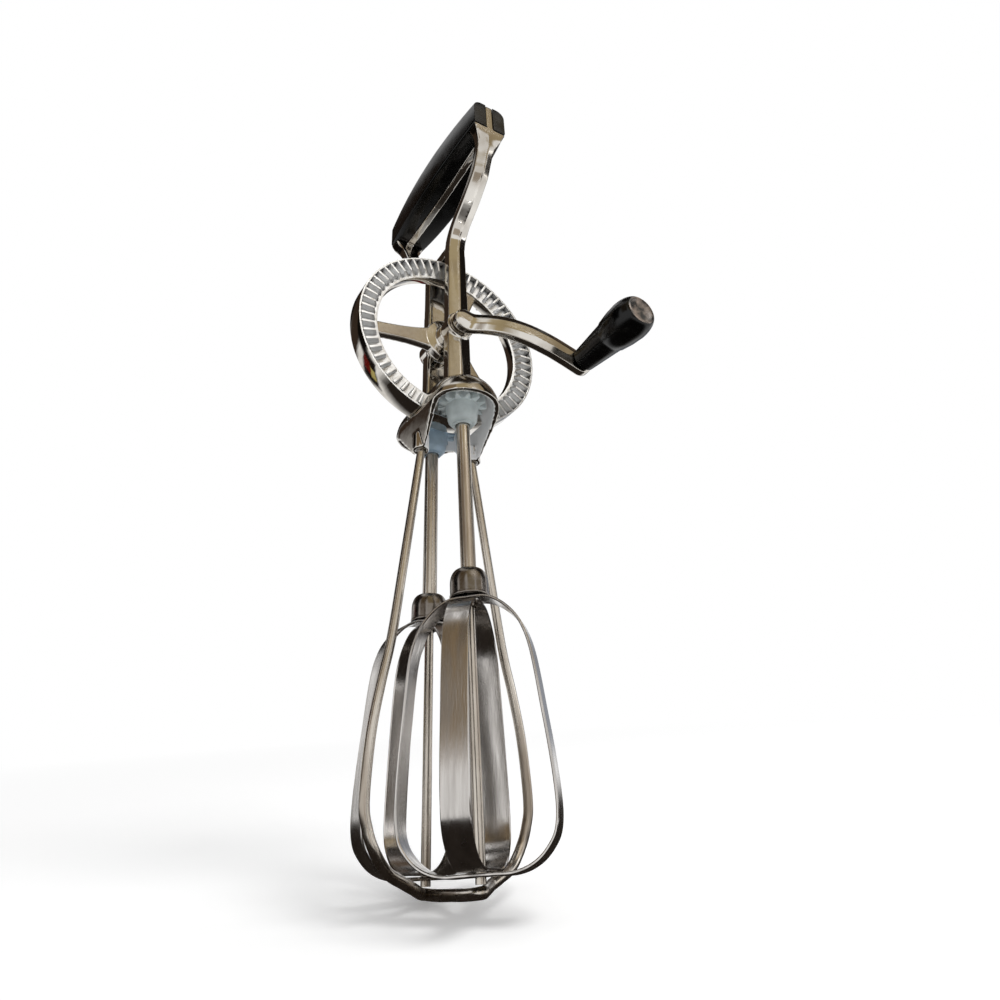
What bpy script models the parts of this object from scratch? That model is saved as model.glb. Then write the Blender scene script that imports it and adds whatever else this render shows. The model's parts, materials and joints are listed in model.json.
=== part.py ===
"""Hand-cranked rotary egg beater.

A die-cast frame hangs from a two-piece hand grip and straddles a crown wheel
with teeth on both faces. The wheel drives one nylon pinion on each side of its
rim, and each pinion turns a tube that carries a pair of crossed strip blades
round a fixed rod. The rods stand on a wire frame that hangs from the casting.

Metres, +Z up. The origin is the middle of the hand grip. The axle lies along Y,
and the crank is on the -Y side, which is called the near side.
"""

import math

import bmesh
import bpy
from mathutils import Matrix, Vector

# Shared clearances and counts
GAP = 0.0003
OVERRUN = 0.002
WELD = 0.00001
ROUND_STEPS = 32
SMALL_STEPS = 20

# Layout
AXLE_DROP = 0.0914
SPLAY = math.radians(1.4)

# Crown wheel, with the same teeth on both faces
WHEEL_TEETH = 60
WHEEL_R = 0.0381
WHEEL_BORE_WALL = 0.001
TOOTH_BAND = 0.0071
TOOTH_H = 0.0025
TOOTH_END_SLOPE = 0.0014
RIM_T = 0.0044
LIP_T = 0.0007
LIP_H = 0.0022
LIP_DRAFT = 0.0001
SPOKES = 3
SPOKE_ANGLE = math.radians(188)
SPOKE_W = 0.0054
SPOKE_ROOT_W = 0.0104
SPOKE_T = 0.0034
HUB_R = 0.0056
HUB_FLANGE_R = 0.0093
HUB_FLANGE_T = 0.0052
# Half of a tooth's width at its tip and at its root, as shares of the tooth pitch
wheel_tip_share = 0.117
wheel_root_share = 0.235

# Pinions
PINION_TEETH = 13
PINION_ADDENDUM = 0.0012
PINION_DEDENDUM = 0.0013
PINION_FACE = 0.0050
PINION_LIP_CLEAR = 0.0004
PINION_HUB_L = 0.0078
PINION_HUB_TAPER = 0.0006
PINION_HUB_ROUND = 0.0026
PINION_COLLAR_W = 0.0007
TOOTH_ROOT_CLEAR = 0.0006
pinion_tip_share = 0.116
pinion_root_share = 0.29

# Axle and its head behind the rear column
AXLE_R = 0.0025
AXLE_HEAD_R = 0.0033
AXLE_HEAD_T = 0.0012
WASHER_R = 0.0043
WASHER_T = 0.0008

# Frame casting
WHEEL_SIDE_CLEAR = 0.0015
WHEEL_EDGE_CLEAR = 0.0012
COLUMN_T = 0.0045
COLUMN_W = 0.0075
COLUMN_FOOT_W = 0.0100
RIDGE_H = 0.0014
RIDGE_LAND = 0.0003
CASTING_CHAMFER = 0.0007
BRIDGE_H = 0.0041
BRIDGE_CLEAR = 0.0015
BOSS_R = 0.0056
BOSS_RISE = 0.0003
ARM_W = 0.0072
ARM_T = 0.0042
BOLSTER_W = 0.0146
BOLSTER_T = 0.0060
BOLSTER_H = 0.00565
TANG_T = 0.0032
TANG_PROUD = 0.0006
# Centreline of an arm down its bolster: share of its reach past the column,
# share of the bolster's height. Then the same for the rest of its drop.
BOLSTER_PATH_SHARES = [(1.0, 0.0), (0.985, 0.46), (0.94, 1.0)]
ARM_PATH_SHARES = [(0.877, 0.099), (0.80, 0.230), (0.713, 0.354), (0.474, 0.538), (0.20, 0.702),
                   (0.05, 0.851), (0.0, 1.0)]
# Share of the way from the arm's own section to the bolster's, at all those points
ARM_FLARE_SHARES = [1.0, 0.68, 0.24, 0.05, 0.0, 0.0, 0.0, 0.0, 0.0, 0.0]

# Gear hood at the foot of the frame
HOOD_WALL = 0.002
HOOD_CLEAR = 0.0027
HOOD_DROP = 0.0005
HOOD_RIM_RISE = 0.0010
HOOD_TAPER = 0.0022
LUG_DROP = 0.0122
LUG_HALF_W = 0.0044
LUG_SLOPE_RUN = 0.0106
LUG_SLOPE_RISE = 0.0122
PIVOT_BOSS_R = 0.0034
PIVOT_BOSS_L = 0.0062
WIRE_BOSS_R = 0.0031
WIRE_BOSS_L = 0.0066
WIRE_BOSS_PROUD = 0.0006
WIRE_SOCKET = 0.0048

# Hand grip
GRIP_L = 0.082
GRIP_HALF_W = 0.0098
GRIP_END_HALF_W = 0.0074
GRIP_TOP = 0.0096
GRIP_END_TOP = 0.0082
GRIP_BOTTOM = 0.0082
GRIP_END_BOTTOM = 0.0060
GRIP_ROUND = 0.0038
GRIP_CORNER = 0.0009
GRIP_END_ROUND = 0.0012
GRIP_PIN_R = 0.0015
GRIP_PIN_SPAN = 0.048
GRIP_PIN_L = 0.0124

# Crank
CRANK_REACH = 0.0451
CRANK_ANGLE = math.radians(-17.5)
CRANK_RISE = 0.0124
CRANK_W = 0.0091
CRANK_ROOT_R = 0.0046
CRANK_EYE_R = 0.0047
CRANK_T = 0.0030
CRANK_RIDGE_H = 0.0012
CRANK_SOCKET = 0.0022
CRANK_WASHER_R = 0.0051
CRANK_WASHER_T = 0.0005
# The crank's back: share of the reach, share of the rise past the columns and hood
CRANK_PATH_SHARES = [(0.0, 0.0), (0.06, 0.05), (0.172, 0.38), (0.29, 0.645), (0.468, 0.865), (0.66, 0.975),
                     (0.82, 1.0), (0.90, 1.0), (1.0, 1.0)]

# Knob and the pin that it turns on
KNOB_L = 0.0335
KNOB_BASE_R = 0.0047
KNOB_STEP_R = 0.0063
KNOB_STEP_H = 0.0004
KNOB_R = 0.0078
KNOB_DISH_R = 0.0050
KNOB_DISH_DEPTH = 0.0011
KNOB_PIN_R = 0.0016
KNOB_PIN_GRIP = 0.025
KNOB_PIN_HEAD_R = 0.0029
KNOB_PIN_HEAD_T = 0.0009
# Where the step ring lies along the knob, and where the knob is fattest
knob_step_share = 0.52
knob_fat_share = 0.79

# Beaters
TUBE_R = 0.00238
TUBE_WALL = 0.0006
TUBE_SPAN = 0.0525
CAP_R = 0.00586
CAP_H = 0.0086
CAP_WALL = 0.0008
CAP_LIP = 0.0002
CAP_LIP_H = 0.0009
BLADE_H = 0.0698
BLADE_R = 0.0216
BLADE_W = 0.0075
BLADE_T = 0.0008
BLADE_HOLE_CLEAR = 0.0004
# Half of a blade's outline: share of its radius, share of its height
BLADE_OUTLINE_SHARES = [(0.0, 0.0), (0.20, 0.0), (0.40, 0.0), (0.58, 0.012), (0.74, 0.037), (0.87, 0.075),
                        (0.96, 0.120), (1.0, 0.19), (0.995, 0.29), (0.965, 0.41), (0.92, 0.54),
                        (0.88, 0.66), (0.835, 0.76), (0.77, 0.835), (0.665, 0.90), (0.50, 0.955),
                        (0.33, 0.988), (0.18, 1.0), (0.0, 1.0)]
NEAR_BLADE_ANGLES = (math.radians(-45), math.radians(45))
FAR_BLADE_ANGLES = (0.0, math.radians(90))

# Wire frame and the two fixed rods that stand on it
WIRE_R = 0.00145
ROD_R = 0.0014
WIRE_TOP_SPREAD = 0.0102
WIRE_SPREAD = 0.0254
WIRE_BELOW_BLADES = 0.0032
WIRE_SAG = 0.0003
# One leg: share of the way out from the socket to the widest point, share of
# the way down from the socket to the blades' lowest point
LEG_SHARES = [(0.0, 0.0), (0.346, 0.31), (0.582, 0.514), (0.771, 0.621), (0.928, 0.728),
              (1.0, 0.855), (0.92, 0.909), (0.77, 0.949)]
# Foot of a leg, towards its rod: share of the spread, share of the rod's
# distance from the middle, share of the drop from the blades to the wire
FOOT_SHARES = [(0.69, 0.12, -0.62), (0.453, 0.35, 0.10), (0.30, 0.47, 0.55), (0.138, 0.74, 0.90)]


def empty_scene():
    for obj in list(bpy.data.objects):
        bpy.data.objects.remove(obj)


def finish(name, colour, roughness, metallic):
    """A Principled material of one colour."""
    material = bpy.data.materials.new(name)
    material.use_nodes = True
    shader = material.node_tree.nodes["Principled BSDF"]
    shader.inputs["Base Color"].default_value = (*colour, 1)
    shader.inputs["Roughness"].default_value = roughness
    shader.inputs["Metallic"].default_value = metallic
    return material


def add_object(name, bm, material=None, parent=None, location=(0, 0, 0), rotation=(0, 0, 0), smooth=30):
    """Link a mesh object whose faces point out."""
    bmesh.ops.recalc_face_normals(bm, faces=bm.faces[:])
    mesh = bpy.data.meshes.new(name)
    bm.to_mesh(mesh)
    bm.free()
    if smooth:
        mesh.shade_smooth()
        mesh.set_sharp_from_angle(angle=math.radians(smooth))
    obj = bpy.data.objects.new(name, mesh)
    bpy.context.collection.objects.link(obj)
    obj.parent = parent
    obj.location = location
    obj.rotation_euler = rotation
    if material:
        mesh.materials.append(material)
    return obj


def add_empty(name, location, rotation=(0, 0, 0), parent=None):
    obj = bpy.data.objects.new(name, None)
    bpy.context.collection.objects.link(obj)
    obj.parent = parent
    obj.location = location
    obj.rotation_euler = rotation
    return obj


def combine(target, tool, operation):
    """Join the tool to the target, or cut it out, and keep the tool as a guide."""
    tool.hide_render = True
    tool.display_type = "WIRE"
    modifier = target.modifiers.new(tool.name, "BOOLEAN")
    modifier.operation = operation
    modifier.solver = "EXACT"
    modifier.object = tool
    weld = target.modifiers.new(f"{tool.name}_weld", "WELD")
    weld.merge_threshold = WELD


def loft(rings):
    """A solid through rings of equally many points, capped at both ends."""
    bm = bmesh.new()
    loops = [[bm.verts.new(point) for point in ring] for ring in rings]
    for low, high in zip(loops, loops[1:]):
        for i in range(len(low)):
            bm.faces.new((low[i - 1], low[i], high[i], high[i - 1]))
    bm.faces.new(loops[0])
    bm.faces.new(loops[-1])
    return bm


def prism(outline, low, high):
    """A flat outline in XY, extruded from one height to the other."""
    bm = bmesh.new()
    face = bm.faces.new([bm.verts.new((x, y, low)) for x, y in outline])
    grown = bmesh.ops.extrude_face_region(bm, geom=[face])["geom"]
    verts = [item for item in grown if isinstance(item, bmesh.types.BMVert)]
    bmesh.ops.translate(bm, verts=verts, vec=(0, 0, high - low))
    return bm


def turned(profile, steps=ROUND_STEPS):
    """A solid of revolution about Z from (radius, height) points.

    A profile that starts and ends on the axis is closed by it. Any other is
    closed on itself and leaves a bore.
    """
    bm = bmesh.new()
    verts = [bm.verts.new((radius, 0, height)) for radius, height in profile]
    edges = [bm.edges.new(pair) for pair in zip(verts, verts[1:])]
    if profile[0][0] > 0:
        edges.append(bm.edges.new((verts[-1], verts[0])))
    bmesh.ops.spin(bm, geom=verts + edges, axis=(0, 0, 1), cent=(0, 0, 0), angle=math.tau, steps=steps)
    bmesh.ops.remove_doubles(bm, verts=bm.verts[:], dist=WELD)
    return bm


def rod(radius, low, high, steps=SMALL_STEPS):
    return turned([(0, low), (radius, low), (radius, high), (0, high)], steps)


def smooth_path(points, steps):
    """Points on a Catmull-Rom curve through the given ones, ends included."""
    points = [Vector(point) for point in points]
    ends = [2 * points[0] - points[1]] + points + [2 * points[-1] - points[-2]]
    path = []
    for a, b, c, d in zip(ends, ends[1:], ends[2:], ends[3:]):
        for i in range(steps):
            t = i / steps
            path.append(0.5 * (2 * b + (c - a) * t + (2 * a - 5 * b + 4 * c - d) * t ** 2
                               + (3 * b - a - 3 * c + d) * t ** 3))
    return path + [points[-1]]


def ridged(width, side, ridge, chamfer):
    """Corners of a bar with a flat back, low sides and a ridge along its front."""
    x, y = width / 2, side / 2
    return [(x - chamfer, -y), (x, chamfer - y), (x, y), (RIDGE_LAND, y + ridge),
            (-RIDGE_LAND, y + ridge), (-x, y), (-x, chamfer - y), (chamfer - x, -y)]


def chamfered(width, depth, chamfer):
    """Corners of a rectangle with its corners cut off, centred."""
    x, y = width / 2, depth / 2
    return [(x, y - chamfer), (x - chamfer, y), (chamfer - x, y), (-x, y - chamfer),
            (-x, chamfer - y), (chamfer - x, -y), (x - chamfer, -y), (x, chamfer - y)]


# Places that several pieces share, worked out from the sizes above
MESH_R = WHEEL_R - TOOTH_BAND / 2
TOOTH_ARC = math.tau * MESH_R / WHEEL_TEETH
PINION_PITCH_R = MESH_R * PINION_TEETH / WHEEL_TEETH
PINION_TIP_R = PINION_PITCH_R + PINION_ADDENDUM
PINION_ROOT_R = PINION_PITCH_R - PINION_DEDENDUM
PINION_OFFSET = RIM_T / 2 + TOOTH_ROOT_CLEAR + PINION_TIP_R
FORK_HALF = RIM_T / 2 + TOOTH_H + WHEEL_SIDE_CLEAR
COLUMN_Y = FORK_HALF + COLUMN_T / 2
BOSS_FACE = FORK_HALF + COLUMN_T + RIDGE_H + BOSS_RISE
CRANK_BACK = BOSS_FACE + GAP + CRANK_WASHER_T + GAP
AXLE_Z = -AXLE_DROP
MESH_Z = AXLE_Z - MESH_R
WHEEL_TOP_Z = AXLE_Z + WHEEL_R
WHEEL_BOTTOM_Z = AXLE_Z - WHEEL_R
BRIDGE_TOP_Z = WHEEL_TOP_Z + BRIDGE_CLEAR + BRIDGE_H
BOLSTER_Z = -GRIP_END_BOTTOM - GAP
HOOD_R = PINION_TIP_R + HOOD_CLEAR + HOOD_WALL
HOOD_Z = WHEEL_BOTTOM_Z - HOOD_DROP
LUG_Z = HOOD_Z - LUG_DROP
WIRE_TOP_Z = LUG_Z - WIRE_BOSS_PROUD

# Heights along a beater's own axis, from the level where the gears mesh
TOOTH_LOW = MESH_R - (WHEEL_R - LIP_T - LIP_DRAFT - PINION_LIP_CLEAR)
TOOTH_HIGH = TOOTH_LOW + PINION_FACE
HUB_LOW = TOOTH_LOW - PINION_HUB_L
CAP_TOP = HUB_LOW - TUBE_SPAN
CAP_LOW = CAP_TOP - CAP_H
BLADE_TOP = CAP_LOW - GAP
BLADE_LOW = BLADE_TOP - BLADE_H
BLADE_STEP = BLADE_T + GAP
TUBE_LOW = BLADE_TOP - 2 * BLADE_STEP - GAP
BORE_R = TUBE_R + GAP


def on_beater_axis(side, along):
    """World point on the near (-1) or far (+1) beater's axis, at a height along it."""
    return Vector((0, side * (PINION_OFFSET - along * math.sin(SPLAY)), MESH_Z + along * math.cos(SPLAY)))


def stadium(radius, z):
    """A ring round both pinion axes: two half circles joined by straight sides."""
    half = ROUND_STEPS // 2
    ring = []
    for side in (1, -1):
        for i in range(half + 1):
            angle = math.pi * i / half + (0 if side > 0 else math.pi)
            ring.append((radius * math.cos(angle), side * PINION_OFFSET + radius * math.sin(angle), z))
    return ring


def domed(radius, low, steps=5):
    """A stadium-shaped bell: straight walls up to the hood's centre, then a dome."""
    rings = [stadium(radius - HOOD_TAPER, low)]
    for i in range(steps + 1):
        angle = math.radians(88) * i / steps
        rings.append(stadium(radius * math.cos(angle), HOOD_Z + radius * math.sin(angle)))
    return loft(rings)


def make_frame(material):
    """The casting: tang, two arms, bridge, columns and the hood over the pinions."""
    reach = GRIP_L / 2 - BOLSTER_T / 2 - COLUMN_Y
    knee_z = BOLSTER_Z - BOLSTER_H
    drop = knee_z - BRIDGE_TOP_Z + BRIDGE_H / 2
    knots = [(0, COLUMN_Y + reach * out, BOLSTER_Z - BOLSTER_H * down) for out, down in BOLSTER_PATH_SHARES]
    knots += [(0, COLUMN_Y + reach * out, knee_z - drop * down) for out, down in ARM_PATH_SHARES]
    path = smooth_path(knots, 2)
    flares = [point.z for point in smooth_path([(0, 0, share) for share in ARM_FLARE_SHARES], 2)]
    foot = Vector((0, COLUMN_Y, HOOD_Z + HOOD_R - HOOD_WALL))
    path.append(foot)

    rings = []
    for i, point in enumerate(path):
        before, after = path[max(i - 1, 0)], path[min(i + 1, len(path) - 1)]
        along = (after - before).normalized()
        across = Vector((0, -along.z, along.y))
        if i in (0, len(path) - 1):
            across = Vector((0, 1, 0))
        flare = max(flares[min(i, len(flares) - 1)], 0)
        run = min(max((i - 5) / (len(flares) - 6), 0), 1)
        width = ARM_W + (COLUMN_W - ARM_W) * run + (BOLSTER_W - ARM_W) * flare
        depth = ARM_T + (COLUMN_T - ARM_T) * run + (BOLSTER_T - ARM_T) * flare
        ridge = RIDGE_H * (1 - flare)
        if point is foot:
            width = COLUMN_FOOT_W
        rings.append([point + Vector((x, 0, 0)) + across * y
                      for x, y in ridged(width, depth, ridge, CASTING_CHAMFER)])
    for corner in rings[0]:
        corner.z = grip_height_at(corner.y / (GRIP_L / 2))[1] - GAP
    casting = add_object("frame_casting", loft(rings), material)

    far_side = [[Vector((p.x, -p.y, p.z)) for p in ring] for ring in rings]
    combine(casting, add_object("rear_arm_form", loft(far_side)), "UNION")

    outline = [(y, z - GAP if z > 0 else z - TANG_PROUD) for y, z in grip_side_outline()]
    tang = prism(outline, -TANG_T / 2, TANG_T / 2)
    bmesh.ops.rotate(tang, verts=tang.verts[:], matrix=Matrix(((0, 0, 1), (1, 0, 0), (0, 1, 0))))
    combine(casting, add_object("tang_form", tang), "UNION")

    bridge = prism(chamfered(COLUMN_W - GAP, 2 * COLUMN_Y, CASTING_CHAMFER), BRIDGE_TOP_Z - BRIDGE_H, BRIDGE_TOP_Z)
    combine(casting, add_object("bridge_form", bridge), "UNION")

    for side, label in ((-1, "near"), (1, "far")):
        boss = rod(BOSS_R, FORK_HALF - GAP, BOSS_FACE, ROUND_STEPS)
        form = add_object(f"{label}_axle_boss_form", boss, location=(0, 0, AXLE_Z),
                          rotation=(math.radians(-90 * side), 0, 0))
        combine(casting, form, "UNION")

    combine(casting, add_object("hood_form", domed(HOOD_R, LUG_Z)), "UNION")
    for side in (-1, 1):
        boss = rod(WIRE_BOSS_R, WIRE_TOP_Z, WIRE_TOP_Z + WIRE_BOSS_L)
        combine(casting, add_object("wire_boss_form", boss, location=(side * WIRE_TOP_SPREAD, 0, 0)), "UNION")

    cavity = domed(HOOD_R - HOOD_WALL, LUG_Z - OVERRUN)
    cut = add_object("hood_cavity_cut", cavity)
    for side, label in ((-1, "near"), (1, "far")):
        top_along = TOOTH_HIGH + HOOD_R + PIVOT_BOSS_L
        keep = rod(PIVOT_BOSS_R, TOOTH_HIGH + GAP, top_along)
        combine(cut, add_object(f"{label}_pivot_boss_form", keep, location=on_beater_axis(side, 0),
                                rotation=(side * SPLAY, 0, 0)), "DIFFERENCE")
    for side in (-1, 1):
        keep = rod(WIRE_BOSS_R - GAP, WIRE_TOP_Z - OVERRUN, WIRE_TOP_Z + WIRE_BOSS_L - GAP)
        combine(cut, add_object("wire_boss_keep", keep, location=(side * WIRE_TOP_SPREAD, 0, 0)), "DIFFERENCE")
    combine(casting, cut, "DIFFERENCE")

    half_slot = RIM_T / 2 + TOOTH_H + WHEEL_EDGE_CLEAR
    slot = rod(WHEEL_R + WHEEL_EDGE_CLEAR, -half_slot, half_slot, 2 * ROUND_STEPS)
    combine(casting, add_object("wheel_slot_cut", slot, location=(0, 0, AXLE_Z),
                                rotation=(math.radians(90), 0, 0)), "DIFFERENCE")

    reach_past = PINION_OFFSET + HOOD_R + OVERRUN
    lip = HOOD_Z + HOOD_RIM_RISE
    low = LUG_Z - OVERRUN
    for side in (-1, 1):
        shape = [(LUG_HALF_W, low), (LUG_HALF_W, LUG_Z), (LUG_HALF_W + LUG_SLOPE_RUN, LUG_Z + LUG_SLOPE_RISE),
                 (PINION_OFFSET + HOOD_R / 2, lip), (reach_past, lip), (reach_past, low)]
        arch = prism([(side * y, z) for y, z in shape], -HOOD_R - OVERRUN, HOOD_R + OVERRUN)
        bmesh.ops.rotate(arch, verts=arch.verts[:], matrix=Matrix(((0, 0, 1), (1, 0, 0), (0, 1, 0))))
        combine(casting, add_object("hood_arch_cut", arch), "DIFFERENCE")

    for side, label in ((-1, "near"), (1, "far")):
        seat = rod(ROD_R + GAP, TOOTH_HIGH - OVERRUN, TOOTH_HIGH + PIVOT_BOSS_L)
        combine(casting, add_object(f"{label}_rod_seat_cut", seat, location=on_beater_axis(side, 0),
                                    rotation=(side * SPLAY, 0, 0)), "DIFFERENCE")
        socket = rod(WIRE_R + GAP, WIRE_TOP_Z - OVERRUN, WIRE_TOP_Z + WIRE_SOCKET)
        combine(casting, add_object(f"{label}_wire_socket_cut", socket,
                                    location=(side * WIRE_TOP_SPREAD, 0, 0)), "DIFFERENCE")
    bore = rod(AXLE_R + GAP, -BOSS_FACE - OVERRUN, BOSS_FACE + OVERRUN, ROUND_STEPS)
    combine(casting, add_object("axle_bore_cut", bore, location=(0, 0, AXLE_Z),
                                rotation=(math.radians(90), 0, 0)), "DIFFERENCE")
    holes = rod(GRIP_PIN_R + GAP, -TANG_T, TANG_T)
    for side in (-1, 1):
        combine(casting, add_object("tang_hole_cut", holes.copy(), rotation=(0, math.radians(90), 0),
                                    location=(0, side * GRIP_PIN_SPAN / 2, 0)), "DIFFERENCE")
    holes.free()
    return casting


def grip_height_at(share):
    """Top and bottom of the grip at a share of its half length, both crowned."""
    crown = 1 - share ** 2
    return (GRIP_END_TOP + (GRIP_TOP - GRIP_END_TOP) * crown,
            -GRIP_END_BOTTOM - (GRIP_BOTTOM - GRIP_END_BOTTOM) * crown)


def grip_side_outline(steps=8):
    """The grip's outline from the side, as (along, up) points."""
    shares = [i / steps for i in range(-steps, steps + 1)]
    half = GRIP_L / 2 - GAP
    upper = [(half * share, grip_height_at(share)[0]) for share in shares]
    lower = [(half * share, grip_height_at(share)[1]) for share in reversed(shares)]
    return upper + lower


def make_grip(material, pin_material):
    """Two moulded halves, one on each side of the tang, and the pins between them."""
    inner = TANG_T / 2 + GAP
    half_l = GRIP_L / 2
    shares = [-1.0, -0.985, -0.95, -0.8, -0.55, -0.28, 0.0, 0.28, 0.55, 0.8, 0.95, 0.985, 1.0]
    for side, label in ((-1, "left"), (1, "right")):
        rings = []
        for share in shares:
            high, low = grip_height_at(share)
            shrink = GRIP_END_ROUND * max((abs(share) - shares[-3]) / (1 - shares[-3]), 0) ** 2
            high, low = high - shrink, low + shrink / 2
            wide = GRIP_END_HALF_W + (GRIP_HALF_W - GRIP_END_HALF_W) * (1 - share ** 2) - shrink
            ring = [(inner, low), (wide - GRIP_CORNER, low), (wide, low + GRIP_CORNER)]
            for i in range(5):
                angle = math.radians(90) * i / 4
                ring.append((wide - GRIP_ROUND * (1 - math.cos(angle)), high - GRIP_ROUND * (1 - math.sin(angle))))
            ring.append((inner, high))
            rings.append([(side * x, half_l * share, z) for x, z in ring])
        half = add_object(f"grip_half_{label}", loft(rings), material, smooth=35)
        for end in (-1, 1):
            hole = rod(GRIP_PIN_R + GAP, 0, GRIP_PIN_L / 2 + GAP)
            combine(half, add_object("grip_pin_hole_cut", hole, location=(0, end * GRIP_PIN_SPAN / 2, 0),
                                     rotation=(0, math.radians(90 * side), 0)), "DIFFERENCE")
    for end, label in ((-1, "near"), (1, "far")):
        pin = rod(GRIP_PIN_R, -GRIP_PIN_L / 2, GRIP_PIN_L / 2)
        add_object(f"grip_pin_{label}", pin, pin_material, location=(0, end * GRIP_PIN_SPAN / 2, 0),
                   rotation=(0, math.radians(90), 0))


def make_wheel(material, parent):
    """The crown wheel: ring, teeth pulled out of both faces, spokes and hub."""
    steps = 4 * WHEEL_TEETH
    inner, band = WHEEL_R - TOOTH_BAND - WHEEL_BORE_WALL, WHEEL_R - TOOTH_BAND
    root, lip = RIM_T / 2, RIM_T / 2 + LIP_H
    lip_r = WHEEL_R - LIP_T
    face = [(band, root), (band + TOOTH_END_SLOPE, root), (lip_r - LIP_DRAFT, root), (lip_r, lip), (WHEEL_R, lip)]
    profile = [(inner, -root)] + [(r, -z) for r, z in face] + face[::-1] + [(inner, root)]
    bm = turned(profile, steps)
    # Each tooth takes four of the spun stations: root, tip, tip, root
    pitch = math.tau / WHEEL_TEETH
    stations = [-wheel_root_share, -wheel_tip_share, wheel_tip_share, wheel_root_share]
    for vert in bm.verts:
        radius = math.hypot(vert.co.x, vert.co.y)
        place = round(math.atan2(vert.co.y, vert.co.x) / (pitch / 4)) % steps
        tooth, station = divmod(place, 4)
        # A gap between teeth is centred at the lowest point, where the pinions are
        angle = pitch * (tooth + 0.5 + stations[station]) - math.pi / 2
        vert.co.x, vert.co.y = radius * math.cos(angle), radius * math.sin(angle)
        if station in (1, 2) and band + TOOTH_END_SLOPE - WELD < radius < lip_r - WELD:
            vert.co.z = math.copysign(root + TOOTH_H, vert.co.z)
    wheel = add_object("drive_wheel", bm, material, parent, smooth=25)

    spoke_end = inner + WHEEL_BORE_WALL / 2
    spider = []
    for i in range(SPOKES):
        middle = SPOKE_ANGLE + math.tau * i / SPOKES
        out, across = Vector((math.cos(middle), math.sin(middle))), Vector((-math.sin(middle), math.cos(middle)))
        stations = []
        for j in range(7):
            share = j / 6
            along = HUB_R + (spoke_end - HUB_R) * share
            half = (SPOKE_W + (SPOKE_ROOT_W - SPOKE_W) * (1 - share) ** 3) / 2
            stations.append((along, half))
        spider += [out * along - across * half for along, half in stations]
        spider += [out * along + across * half for along, half in reversed(stations)]
    combine(wheel, add_object("spoke_form", prism(spider, -SPOKE_T / 2, SPOKE_T / 2), parent=parent), "UNION")

    face = FORK_HALF - GAP
    flange = HUB_FLANGE_T / 2
    hub = turned([(0, -face), (HUB_R, -face), (HUB_R, -flange), (HUB_FLANGE_R, -SPOKE_T / 2 - GAP),
                  (HUB_FLANGE_R, SPOKE_T / 2 + GAP), (HUB_R, flange), (HUB_R, face), (0, face)])
    combine(wheel, add_object("hub_form", hub, parent=parent), "UNION")
    bore = rod(AXLE_R + GAP, -face - OVERRUN, face + OVERRUN)
    combine(wheel, add_object("hub_bore_cut", bore, parent=parent), "DIFFERENCE")


def make_axle(material, washer_material, parent):
    """The axle, seated in the crank's root and headed over a washer at the rear."""
    front = CRANK_BACK + CRANK_SOCKET - GAP
    washer_low = -BOSS_FACE - GAP - WASHER_T
    head = washer_low - GAP
    axle = turned([(0, head - AXLE_HEAD_T), (AXLE_HEAD_R * 0.7, head - AXLE_HEAD_T), (AXLE_HEAD_R, head - AXLE_HEAD_T / 2),
                   (AXLE_HEAD_R, head), (AXLE_R, head), (AXLE_R, front), (0, front)], ROUND_STEPS)
    add_object("axle", axle, material, parent)
    for name, radius, low, high in (
            ("rear_washer", WASHER_R, washer_low, washer_low + WASHER_T),
            ("crank_washer", CRANK_WASHER_R, BOSS_FACE + GAP, BOSS_FACE + GAP + CRANK_WASHER_T)):
        bore = AXLE_R + GAP
        washer = turned([(bore, low), (radius, low), (radius, high), (bore, high)])
        add_object(name, washer, washer_material, parent)


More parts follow.
